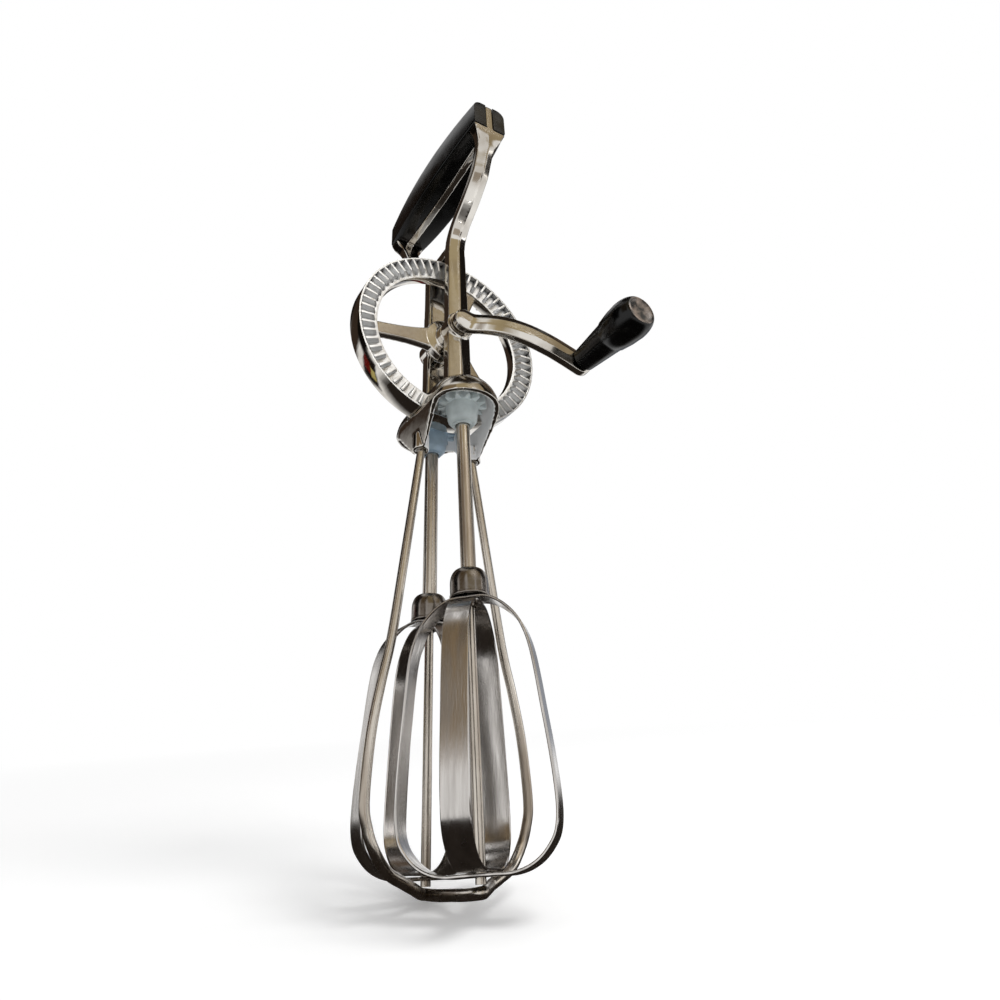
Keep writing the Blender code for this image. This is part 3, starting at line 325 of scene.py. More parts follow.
def layout():
    """Places that several pieces share, worked out from the sizes."""
    scene = bpy.context.scene
    c, g, h, w = (scene.egg_beater_casting, scene.egg_beater_gears, scene.egg_beater_handles,
                  scene.egg_beater_whisk)
    p = SimpleNamespace(c=c, g=g, h=h, w=w, gap=w.gap)
    p.mesh_r = g.wheel_r - g.tooth_band / 2
    p.tooth_arc = math.tau * p.mesh_r / WHEEL_TEETH
    pitch_r = p.mesh_r * PINION_TEETH / WHEEL_TEETH
    p.pinion_tip_r, p.pinion_root_r = pitch_r + g.addendum, pitch_r - g.dedendum
    p.pinion_offset = g.rim_t / 2 + g.root_clear + p.pinion_tip_r
    p.fork_half = g.rim_t / 2 + g.tooth_h + g.side_clear
    p.column_y = p.fork_half + c.column_t / 2
    p.boss_face = p.fork_half + c.column_t + c.ridge_h + c.boss_rise
    p.crank_back = p.boss_face + p.gap + h.washer_t + p.gap
    p.bridge_top = AXLE_Z + g.wheel_r + c.bridge_clear + c.bridge_h
    p.bolster_z = -h.grip_end_bottom - p.gap
    p.hood_r = p.pinion_tip_r + c.hood_clear + c.hood_wall
    p.hood_z = AXLE_Z - g.wheel_r - c.hood_drop
    p.lug_z = p.hood_z - c.lug_drop
    p.wire_top = p.lug_z - c.wire_boss_proud
    p.tooth_low = p.mesh_r - (g.wheel_r - g.lip_t - g.pinion_lip_clear)
    p.tooth_high = p.tooth_low + g.pinion_face
    p.hub_low = p.tooth_low - g.pinion_hub_l
    p.cap_top = p.hub_low - w.tube_span
    p.cap_low = p.cap_top - w.cap_h
    p.blade_top = p.cap_low - p.gap
    p.blade_low = p.blade_top - w.blade_h
    p.blade_step = w.blade_t + p.gap
    p.bore_r = w.tube_r + p.gap
    p.drive = Matrix.Translation((0, 0, AXLE_Z)) @ Matrix.Rotation(QUARTER, 4, "X")
    return p


def beater_place(label):
    """From a beater's own upright axis to its place on the tool."""
    joint = JOINTS[f"{label}_beater_spin"]
    turn = Vector((0, 0, 1)).rotation_difference(Vector(joint["axis"]))
    return Matrix.Translation(joint["pos_m"]) @ turn.to_matrix().to_4x4()


# ---------------------------------------------------------------- mesh tools


def loft(rings):
    """A solid through rings of equally many points, capped at both ends."""
    bm = bmesh.new()
    loops = [[bm.verts.new(point) for point in ring] for ring in rings]
    for low, high in zip(loops, loops[1:]):
        for i in range(len(low)):
            bm.faces.new((low[i - 1], low[i], high[i], high[i - 1]))
    bm.faces.new(loops[0])
    bm.faces.new(loops[-1])
    return bm


def prism(outline, low, high):
    """A flat outline in XY, extruded from one height to the other."""
    return loft([[(x, y, low) for x, y in outline], [(x, y, high) for x, y in outline]])


def turned(profile, steps=96):
    """A solid of revolution about Z from (radius, height) points."""
    bm = bmesh.new()
    verts = [bm.verts.new((radius, 0, height)) for radius, height in profile]
    edges = [bm.edges.new(pair) for pair in zip(verts, verts[1:])]
    if profile[0][0] > 0:
        edges.append(bm.edges.new((verts[-1], verts[0])))
    bmesh.ops.spin(bm, geom=verts + edges, axis=(0, 0, 1), cent=(0, 0, 0), angle=math.tau,
                   steps=steps)
    bmesh.ops.remove_doubles(bm, verts=bm.verts[:], dist=WELD / 2)
    return bm


def rod(radius, low, high, steps=48):
    return turned([(0, low), (radius, low), (radius, high), (0, high)], steps)


def smooth_path(points, steps):
    """Points on a Catmull-Rom curve through the given ones, ends included."""
    points = [Vector(point) for point in points]
    ends = [2 * points[0] - points[1]] + points + [2 * points[-1] - points[-2]]
    path = []
    for a, b, c, d in zip(ends, ends[1:], ends[2:], ends[3:]):
        for i in range(steps):
            t = i / steps
            path.append(0.5 * (2 * b + (c - a) * t + (2 * a - 5 * b + 4 * c - d) * t ** 2
                               + (3 * b - a - 3 * c + d) * t ** 3))
    return path + [points[-1]]


def arc(centre, radii, start, end, steps=6):
    """Points on an elliptic arc between two angles."""
    turn = [start + (end - start) * i / steps for i in range(steps + 1)]
    return [(centre[0] + radii[0] * math.cos(a), centre[1] + radii[1] * math.sin(a)) for a in turn]


def ridged(width, side, ridge, land, chamfer):
    """Corners of a bar with a flat back, low sides and a ridge along its front."""
    x, y = width / 2, side / 2
    return [(x - chamfer, -y), (x, chamfer - y), (x, y), (land, y + ridge),
            (-land, y + ridge), (-x, y), (-x, chamfer - y), (chamfer - x, -y)]


def link_object(name, data):
    obj = bpy.data.objects.new(name, data)
    bpy.context.scene.collection.objects.link(obj)
    return obj


def add_piece(name, bm, material, body, replaced=(), place=None, smooth=35):
    """Link a piece whose faces point out; given a material, let it ride on its body and hide the imported parts
    that it replaces.
    """
    if place:
        bm.transform(place)
    bmesh.ops.recalc_face_normals(bm, faces=bm.faces[:])
    mesh = bpy.data.meshes.new(name)
    bm.to_mesh(mesh)
    bm.free()
    obj = link_object(name, mesh)
    if material:
        mesh.materials.append(material)
        dress(obj, body, replaced)
    soften(obj, smooth)
    return obj


def dress(obj, body, replaced=()):
    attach(obj, body)
    if replaced:
        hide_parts(*replaced)


def soften(obj, angle):
    obj.data.shade_smooth()
    obj.data.set_sharp_from_angle(angle=math.radians(angle))


def settle(obj):
    """Turn a piece's modifiers into its mesh."""
    bpy.context.view_layer.update()
    shown = obj.evaluated_get(bpy.context.evaluated_depsgraph_get())
    mesh = bpy.data.meshes.new_from_object(shown)
    obj.modifiers.clear()
    obj.data = mesh


def merge(target, tool_bm, operation, place=None):
    """Join a form to a piece, or cut it out."""
    tool = add_piece("tool", tool_bm, None, None, place=place)
    modifier = target.modifiers.new("merge", "BOOLEAN")
    modifier.operation = operation
    modifier.solver = "MANIFOLD"
    modifier.object = tool
    settle(target)
    bpy.data.objects.remove(tool)


def merge_rods(target, operation, places, radius, low, high, steps=48):
    """Join the same rod to a piece at each of the places, or cut it out."""
    for place in places:
        merge(target, rod(radius, low, high, steps), operation, place)


def bevel(obj, width, segments=2, angle=35):
    modifier = obj.modifiers.new("bevel", "BEVEL")
    modifier.width = width
    modifier.segments = segments
    modifier.limit_method = "ANGLE"
    modifier.angle_limit = math.radians(angle)
    modifier.harden_normals = False
    settle(obj)
    soften(obj, angle)


def cast_skin(obj, step, rounds):
    """Round a casting's edges and inner corners, as a mould leaves them."""
    remesh = obj.modifiers.new("skin", "REMESH")
    remesh.mode = "VOXEL"
    remesh.voxel_size = step
    smooth = obj.modifiers.new("rounding", "SMOOTH")
    smooth.factor = 0.5
    smooth.iterations = rounds
    settle(obj)
    obj.data.shade_smooth()


# ---------------------------------------------------------------- materials


SHADER = "Principled BSDF"
# Noise between these values runs from clean plate to full haze
HAZE_SPREAD = (0.42, 0.68)
# How dark the clouds in nylon are, as a share of its colour
CLOUD_SHADE = 0.72
# Metals: colour, colour of the haze, roughness and what the haze adds to it; sizes of the haze and
# of the grain and depth of the relief, in millimetres; scale of their pattern along Z
METALS = {
    # Bright chrome on a die casting: a mirror that the cast surface under it makes wavy
    "chrome_plate_bright": ("plate", "plate_shade", 0.06, 0.08, 14, 6, 0.04, 1),
    # Plated casting as the mould left it: bright, but too rough to mirror anything
    "plated_casting_unpolished": ("plate", "zinc_shade", 0.24, 0.16, 5, 1.6, 0.14, 1),
    # Drawn wire and tube: satin, with rubbed streaks along its length
    "drawn_steel_satin": ("steel", "steel_shade", 0.20, 0.14, 4, 0.6, 0.02, 0.12),
    # Rolled stainless strip: fine streaks along it and a soft shine across them
    "stainless_strip_rolled": ("strip", "strip_shade", 0.16, 0.12, 3, 0.4, 0.02, 0.06),
    # Dark nickel on a drawn cap
    "nickel_dark": ("cap", "cap", 0.16, 0.12, 3, 0.8, 0.02, 1),
}


def feed(owner, name, settings=(), links=()):
    """Set a node's properties and inputs, and link other nodes' sockets to its inputs."""
    tree = owner.node_tree
    node = tree.nodes[name]
    for key, value in dict(settings).items():
        if isinstance(key, str) and hasattr(node, key):
            setattr(node, key, value)
        else:
            node.inputs[key].default_value = value
    for key, socket in dict(links).items():
        tree.links.new(socket, node.inputs[key])
    return node


def add_node(owner, kind, settings=(), links=()):
    return feed(owner, owner.node_tree.nodes.new(kind).name, settings, links)


def new_material(name):
    """The material of this name, and whether it still has to be set up."""
    material = bpy.data.materials.get(name)
    if material:
        return material, False
    material = bpy.data.materials.new(name)
    material.use_nodes = True
    return material, True


def colours():
    return bpy.context.scene.egg_beater_colours


def maths(owner, operation, first, second):
    """The result of an operation on two sockets."""
    return add_node(owner, "ShaderNodeMath", {"operation": operation},
                    {0: first, 1: second}).outputs[0]


def mix_shaders(owner, factor, first, second):
    """The first shader where the factor is 0 and the second where it is 1."""
    return add_node(owner, "ShaderNodeMixShader",
                    links={0: factor, 1: first, 2: second}).outputs[0]


def two_tones(owner, factor, first, second):
    """The first colour where the factor is 0 and the second where it is 1."""
    return add_node(owner, "ShaderNodeMix",
                    {"data_type": "RGBA", 6: (*first, 1), 7: (*second, 1)}, {0: factor}).outputs[2]


def spread(owner, value, low, high, to_low=0.0, to_high=1.0):
    """Stretch a value's range, clamped."""
    return add_node(owner, "ShaderNodeMapRange",
                    {1: low, 2: high, 3: to_low, 4: to_high, "clamp": True}, {0: value}).outputs[0]


def noise(owner, size, detail=3, along=1):
    """Noise with features of a size in millimetres, which grow along Z as along gets smaller."""
    place = add_node(owner, "ShaderNodeTexCoord").outputs["Object"]
    scaled = add_node(owner, "ShaderNodeMapping", {"Scale": (1, 1, along)}, {"Vector": place})
    return add_node(owner, "ShaderNodeTexNoise", {"Scale": 1 / mm(size), "Detail": detail},
                    {"Vector": scaled.outputs[0]}).outputs[0]


def relief(owner, height, depth):
    """Bumps of a depth in millimetres, for a shader's normal."""
    return add_node(owner, "ShaderNodeBump", {"Strength": 1, "Distance": mm(depth)},
                    {"Height": height}).outputs[0]


def metal(name):
    """One of the metals, with its hazy patches and its fine relief."""
    material, fresh = new_material(name)
    if fresh:
        colour, shade, roughness, haze, patch, grain, depth, along = METALS[name]
        tones = getattr(colours(), colour), getattr(colours(), shade)
        blotch = spread(material, noise(material, patch, detail=4, along=along), *HAZE_SPREAD)
        feed(material, SHADER, {"Metallic": 1}, {
            "Base Color": two_tones(material, blotch, *tones),
            "Roughness": spread(material, blotch, 0, 1, to_low=roughness,
                                to_high=roughness + haze),
            "Normal": relief(material, noise(material, grain, detail=2, along=along), depth)})
    return material


def plated_zinc():
    """Plated zinc teeth: bright tops, painted shade darkening the gaps between them, and a slightly rough cast
    skin.
    """
    material, fresh = new_material("plated_zinc_cast")
    if fresh:
        # Painted shade: an occlusion mask turns the teeth's colour dark in the gaps between them
        hollow = add_node(material, "ShaderNodeAmbientOcclusion",
                          {"samples": 8, "Distance": mm(1.5)})
        painted_shade = spread(material, hollow.outputs["AO"], 0.36, 0.84, to_low=1, to_high=0)
        feed(material, SHADER, {"Metallic": 1}, {
            "Base Color": two_tones(material, painted_shade, colours().zinc, colours().zinc_shade),
            "Roughness": spread(material, noise(material, size=2, detail=4), 0.3, 0.7,
                                to_low=0.30, to_high=0.50),
            "Normal": relief(material, noise(material, size=1.1), depth=0.06)})
    return material


def black_moulding():
    """Black phenolic moulding, polished, with faint handling marks."""
    material, fresh = new_material("phenolic_black_polished")
    if fresh:
        black = (*colours().black, 1)
        feed(material, SHADER, {"Base Color": black, "IOR": 1.5, "Specular IOR Level": 0.3}, {
            "Roughness": spread(material, noise(material, size=6, detail=5), 0.35, 0.75,
                                to_low=0.14, to_high=0.30),
            "Normal": relief(material, noise(material, size=3, detail=2), depth=0.02)})
    return material


def worn_moulding():
    """The same moulding where palm and bench have rubbed the knob's end."""
    material, fresh = new_material("phenolic_black_rubbed")
    if fresh:
        wear = spread(material, noise(material, size=3.5, detail=5), 0.38, 0.62)
        feed(material, SHADER, {"IOR": 1.6, "Roughness": 0.42}, {
            "Base Color": two_tones(material, wear, colours().black_worn, colours().black),
            "Normal": relief(material, noise(material, size=0.9, detail=4), depth=0.05)})
    return material


def nylon(name, colour):
    """Moulded nylon: semi-matt, a little milky and cloudy, with a fine moulded skin."""
    material, fresh = new_material(name)
    if fresh:
        shade = [channel * CLOUD_SHADE for channel in colour]
        cloud = spread(material, noise(material, size=4, detail=4), 0.35, 0.75)
        feed(material, SHADER, {"IOR": 1.53, "Roughness": 0.38, "Subsurface Weight": 0.15,
                                "Subsurface Radius": (0.4, 0.5, 0.6), "Subsurface Scale": mm(1)},
             {"Base Color": two_tones(material, cloud, colour, shade),
              "Normal": relief(material, noise(material, size=0.9), depth=0.03)})
    return material


# ---------------------------------------------------------------- pieces


def stadium(p, radius, z, steps=48):
    """A ring round both pinion axes: two half circles joined by straight sides."""
    right = arc((0, p.pinion_offset), (radius, radius), 0, math.pi, steps)
    left = arc((0, -p.pinion_offset), (radius, radius), math.pi, 2 * math.pi, steps)
    return [(x, y, z) for x, y in right + left]


def domed(p, radius, low):
    """A stadium-shaped bell: straight walls up to the hood's centre, then a dome."""
    rings = [stadium(p, radius - p.c.hood_taper, low)]
    for out, up in arc((0, p.hood_z), (radius, radius), 0, DOME_ANGLE, steps=20):
        rings.append(stadium(p, out, up))
    return loft(rings)


def grip_height_at(p, share):
    """Top and bottom of the grip at a share of its half length, both crowned."""
    h, crown = p.h, 1 - share ** 2
    return (h.grip_end_top + (h.grip_top - h.grip_end_top) * crown,
            -h.grip_end_bottom - (h.grip_bottom - h.grip_end_bottom) * crown)


def arm_rings(p, side, detail=6):
    """Sections of one arm, from its bolster down its column to the hood."""
    c, h = p.c, p.h
    reach = h.grip_l / 2 - c.bolster_t / 2 - p.column_y
    drop = p.bolster_z - p.bridge_top + c.bridge_h / 2
    path = smooth_path([(0, p.column_y + reach * out, p.bolster_z - drop * down)
                        for out, down in ARM_PATH_SHARES], detail)
    flares = [point.z for point in smooth_path([(0, 0, share) for share in ARM_FLARE_SHARES],
                                               detail)]
    foot = Vector((0, p.column_y, p.hood_z + p.hood_r - c.hood_wall))
    path.append(foot)
    rings = []
    straight = ARM_PLAIN_POINTS * detail
    for i, point in enumerate(path):
        before, after = path[max(i - 1, 0)], path[min(i + 1, len(path) - 1)]
        along = (after - before).normalized()
        across = Vector((0, -along.z, along.y))
        if i in (0, len(path) - 1):
            across = Vector((0, 1, 0))
        flare = max(flares[min(i, len(flares) - 1)], 0)
        run = min(max((i - straight) / (len(flares) - 1 - straight), 0), 1)
        width = c.arm_w + (c.column_w - c.arm_w) * run + (c.bolster_w - c.arm_w) * flare
        depth = c.arm_t + (c.column_t - c.arm_t) * run + (c.bolster_t - c.arm_t) * flare
        if point is foot:
            width = c.column_foot_w
        section = ridged(width, depth, c.ridge_h * (1 - flare), c.ridge_land, c.chamfer)
        rings.append([point + Vector((x, 0, 0)) + across * y for x, y in section])
    for corner in rings[0]:
        corner.z = grip_height_at(p, corner.y / (h.grip_l / 2))[1] - p.gap
    return [[Vector((point.x, side * point.y, point.z)) for point in ring] for ring in rings]


def across_axle(bm):
    """Turn a prism so that its outline's (along, up) lies in the YZ plane."""
    bm.transform(Matrix(((0, 0, 1, 0), (1, 0, 0, 0), (0, 1, 0, 0), (0, 0, 0, 1))))
    return bm


def make_casting():
    p = layout()
    c, g = p.c, p.g
    wire_ends = [Matrix.Translation((side * p.w.wire_top_spread, 0, 0)) for side in SIDES]
    beaters = [beater_place(label) for label in LABELS]
    axle_ends = [Matrix.Translation((0, 0, AXLE_Z)) @ Matrix.Rotation(-QUARTER * side, 4, "X")
                 for side in SIDES]
    casting = add_piece("frame_casting_body", loft(arm_rings(p, -1)), metal("chrome_plate_bright"),
                        "frame", ["frame_casting"])
    shares = [i / 12 for i in range(-12, 13)]
    half = p.h.grip_l / 2
    tang = [(half * s, grip_height_at(p, s)[0] - p.gap) for s in shares]
    tang += [(half * s, grip_height_at(p, s)[1] - c.tang_proud) for s in reversed(shares)]
    x, y = c.column_w / 2 - p.gap, p.column_y
    bridge = [(x, y), (-x, y), (-x, -y), (x, -y)]
    merge(casting, loft(arm_rings(p, 1)), "UNION")
    merge(casting, across_axle(prism(tang, -c.tang_t / 2, c.tang_t / 2)), "UNION")
    merge(casting, prism(bridge, p.bridge_top - c.bridge_h, p.bridge_top), "UNION")
    merge_rods(casting, "UNION", axle_ends, c.boss_r, p.fork_half - p.gap, p.boss_face,
               steps=96)
    merge(casting, domed(p, p.hood_r, p.lug_z), "UNION")
    merge_rods(casting, "UNION", wire_ends, c.wire_boss_r, p.wire_top, p.wire_top + c.wire_boss_l)

    # The hood's hollow leaves the bosses that hold the rods and the wire
    low = p.lug_z - c.lug_drop
    cavity = add_piece("cavity", domed(p, p.hood_r - c.hood_wall, low), None, None)
    merge_rods(cavity, "DIFFERENCE", beaters, c.pivot_boss_r, p.tooth_high + p.gap,
               p.tooth_high + p.hood_r + c.pivot_boss_l)
    merge_rods(cavity, "DIFFERENCE", wire_ends, c.wire_boss_r - p.gap, p.wire_top - c.lug_drop,
               p.wire_top + c.wire_boss_l - p.gap)
    hollow = bmesh.new()
    hollow.from_mesh(cavity.data)
    bpy.data.objects.remove(cavity)
    merge(casting, hollow, "DIFFERENCE")
    half_slot = g.rim_t / 2 + g.tooth_h + g.edge_clear
    merge_rods(casting, "DIFFERENCE", [p.drive], g.wheel_r + g.edge_clear, -half_slot, half_slot,
               steps=192)

    # Under the hood's rim only the lug between the pinions is left
    past = p.pinion_offset + 2 * p.hood_r
    lip = p.hood_z + c.hood_rim_rise
    for side in SIDES:
        shape = [(c.lug_half_w, low), (c.lug_half_w, p.lug_z),
                 (c.lug_half_w + c.lug_slope_run, p.lug_z + c.lug_slope_rise),
                 (p.pinion_offset + p.hood_r / 2, lip), (past, lip), (past, low)]
        arch = prism([(side * y, z) for y, z in shape], -2 * p.hood_r, 2 * p.hood_r)
        merge(casting, across_axle(arch), "DIFFERENCE")
    merge_rods(casting, "DIFFERENCE", [p.drive], g.axle_r + p.gap, -2 * p.boss_face,
               2 * p.boss_face)
    merge_rods(casting, "DIFFERENCE", beaters, p.w.rod_r + p.gap, p.tooth_low,
               p.tooth_high + c.pivot_boss_l)
    merge_rods(casting, "DIFFERENCE", wire_ends, p.w.wire_r + p.gap, p.wire_top - c.lug_drop,
               p.wire_top + p.w.wire_socket)
    cast_skin(casting, c.skin, rounds=4)
    casting.data.materials.append(metal("plated_casting_unpolished"))
    for face in casting.data.polygons:
        at = face.center
        inward = Vector((0, max(min(at.y, p.pinion_offset), -p.pinion_offset),
                         min(at.z, p.hood_z))) - at
        if at.z < AXLE_Z - g.hub_r and face.normal.dot(inward) > FACING * inward.length:
            face.material_index = 1


def make_grip():
    p = layout()
    h, c = p.h, p.c
    inner = c.tang_t / 2 + p.gap / 3
    shares = [math.sin(QUARTER * i / 20) for i in range(-20, 21)]
    for side, label in ((-1, "left"), (1, "right")):
        rings = []
        for share in shares:
            high, low = grip_height_at(p, share)
            wide = h.grip_end_half_w + (h.grip_half_w - h.grip_end_half_w) * (1 - share ** 2)
            corner, crown = h.grip_corner, h.grip_round
            ring = [(inner, low)]
            ring += arc((wide - corner, low + corner), (corner, corner), -QUARTER, 0, steps=4)
            ring += arc((wide - crown, high - crown), (crown, crown), 0, QUARTER, steps=8)
            ring.append((inner, high))
            rings.append([(side * x, h.grip_l / 2 * share, z) for x, z in ring])
        half = add_piece(f"grip_moulding_{label}", loft(rings), black_moulding(), "frame",
                         [f"grip_half_{label}"], smooth=40)
        bevel(half, h.grip_edge, segments=3, angle=40)


def make_wheel():
    p = layout()
    g = p.g
    steps = 4 * WHEEL_TEETH
    band, root, lip = g.wheel_r - g.tooth_band, g.rim_t / 2, g.rim_t / 2 + g.lip_h
    inner, lip_r = band - g.bore_wall, g.wheel_r - g.lip_t
    slope_end = band + g.tooth_end_slope
    face = [(band, root), (slope_end, root), (lip_r - WELD * 10, root), (lip_r, lip),
            (g.wheel_r, lip)]
    profile = [(inner, -root)] + [(r, -z) for r, z in face] + face[::-1] + [(inner, root)]
    bm = turned(profile, steps)
    pitch = math.tau / WHEEL_TEETH
    stations = [-WHEEL_ROOT_SHARE, -WHEEL_TIP_SHARE, WHEEL_TIP_SHARE, WHEEL_ROOT_SHARE]
    for vert in bm.verts:
        radius = math.hypot(vert.co.x, vert.co.y)
        place = round(math.atan2(vert.co.y, vert.co.x) / (pitch / 4)) % steps
        tooth, station = divmod(place, 4)
        angle = pitch * (tooth + 0.5 + stations[station]) - QUARTER
        vert.co.x, vert.co.y = radius * math.cos(angle), radius * math.sin(angle)
        if station in (1, 2) and slope_end - WELD < radius < lip_r - WELD:
            vert.co.z = math.copysign(root + g.tooth_h, vert.co.z)
    ring = add_piece("crown_wheel_ring", bm, plated_zinc(), "drive", ["drive_wheel"],
                     p.drive)
    bevel(ring, g.tooth_edge, segments=2, angle=25)
    ring.data.materials.append(metal("chrome_plate_bright"))
    for face in ring.data.polygons:
        away = math.hypot(face.center.x, face.center.z - AXLE_Z)
        toothed = band - g.bore_wall / 2 < away < lip_r
        face.material_index = int(abs(face.normal.y) < FACING and not toothed)

    spoke_end = inner + g.bore_wall / 2
    spider = []
    for i in range(SPOKES):
        middle = SPOKE_ANGLE + math.tau * i / SPOKES
        out = Vector((math.cos(middle), math.sin(middle)))
        across = Vector((-out.y, out.x))
        edge = [(g.hub_r + (spoke_end - g.hub_r) * share,
                 (g.spoke_w + (g.spoke_root_w - g.spoke_w) * (1 - share) ** 3) / 2)
                for share in [j / 12 for j in range(13)]]
        spider += [out * along - across * half for along, half in edge]
        spider += [out * along + across * half for along, half in reversed(edge)]
    hub_face, flange, web = p.fork_half - p.gap, g.hub_flange_t / 2, g.spoke_t / 2
    centre = add_piece("crown_wheel_spider", prism(spider, -web, web), metal("chrome_plate_bright"),
                       "drive", ["drive_wheel"], p.drive)
    half_hub = [(g.hub_flange_r, web), (g.hub_r, flange), (g.hub_r, hub_face), (0, hub_face)]
    hub = turned([(radius, -height) for radius, height in reversed(half_hub)] + half_hub)
    merge(centre, hub, "UNION", p.drive)
    merge(centre, rod(g.axle_r + p.gap, -2 * hub_face, 2 * hub_face), "DIFFERENCE", p.drive)
    cast_skin(centre, g.spider_skin, rounds=6)


def make_crank():
    p = layout()
    h = p.h
    path = smooth_path([(h.crank_reach * out, 0, p.crank_back + h.crank_rise * up)
                        for out, up in CRANK_PATH_SHARES], steps=8)
    low = path[-1].z
    turn = [math.radians(angle) for angle in CRANK_END_ANGLES]
    stations = [(-h.crank_root_r * math.sin(a), h.crank_root_r * math.cos(a), p.crank_back)
                for a in turn]
    for point in path:
        share = point.x / h.crank_reach
        end_r = h.crank_root_r if share < 0.5 else h.crank_eye_r
        half = h.crank_w / 2 + (end_r - h.crank_w / 2) * abs(2 * share - 1) ** CRANK_SWELL
        stations.append((point.x, half, point.z))
    eye_r = h.crank_eye_r
    stations += [(h.crank_reach + eye_r * math.sin(a), eye_r * math.cos(a), low)
                 for a in reversed(turn)]
    rings = []
    for x, half, back in stations:
        ridge = h.crank_ridge_h * min(half / h.crank_root_r, 1)
        section = ridged(2 * half, h.crank_t, ridge, half / 3, p.c.ridge_land)
        rings.append([(x, y, back + h.crank_t / 2 + z) for y, z in section])
    place = p.drive @ Matrix.Rotation(CRANK_ANGLE, 4, "Z")
    crank = add_piece("crank_bar", loft(rings), metal("chrome_plate_bright"), "drive",
                      ["crank_arm"], place)
    socket = rod(p.g.axle_r + p.gap, p.crank_back - h.crank_t, p.crank_back + h.crank_socket)
    merge(crank, socket, "DIFFERENCE", p.drive)
    pin = rod(h.knob_pin_r, low - h.crank_t, low + 3 * h.crank_t)
    merge(crank, pin, "DIFFERENCE", place @ Matrix.Translation((h.crank_reach, 0, 0)))
    cast_skin(crank, h.crank_skin, rounds=8)


def make_knob():
    p = layout()
    h = p.h
    low = p.crank_back + h.crank_rise + h.crank_t + h.crank_ridge_h + p.gap
    end, step, fat = (low + h.knob_l * share for share in (1, KNOB_STEP_SHARE, KNOB_FAT_SHARE))
    stem = [(h.knob_base_r - h.knob_edge, low), (h.knob_base_r, low + h.knob_edge),
            (h.knob_step_r - h.knob_flare, step - h.knob_groove),
            (h.knob_step_r + h.knob_flare, step - h.knob_step_h)]
    barrel = [(h.knob_step_r + h.knob_step_h, step),
              ((h.knob_step_r + h.knob_r) / 2 + h.knob_step_h, (step + fat) / 2)]
    barrel += arc((h.knob_dish_r, fat), (h.knob_r - h.knob_dish_r, end - fat), 0, QUARTER,
                  steps=14)
    dish = [(h.knob_dish_r * math.cos(a), end - h.knob_dish_depth * math.sin(a) ** DISH_FULLNESS)
            for a in DISH_ANGLES] + [(0, end - h.knob_dish_depth)]
    place = (p.drive @ Matrix.Rotation(CRANK_ANGLE, 4, "Z")
             @ Matrix.Translation((h.crank_reach, 0, 0)))
    body = turned([(0, low)] + stem + barrel + dish, steps=128)
    knob = add_piece("knob_turning", body, black_moulding(), "knob",
                     ["crank_knob"], place, smooth=28)
    knob.data.materials.append(worn_moulding())
    axis = place.to_3x3() @ Vector((0, 0, 1))
    for face in knob.data.polygons:
        ahead = (face.center - place.translation).dot(axis)
        away = (face.center - place.translation - axis * ahead).length
        face.material_index = int(ahead > fat and away < h.knob_dish_r * DISH_WEAR)


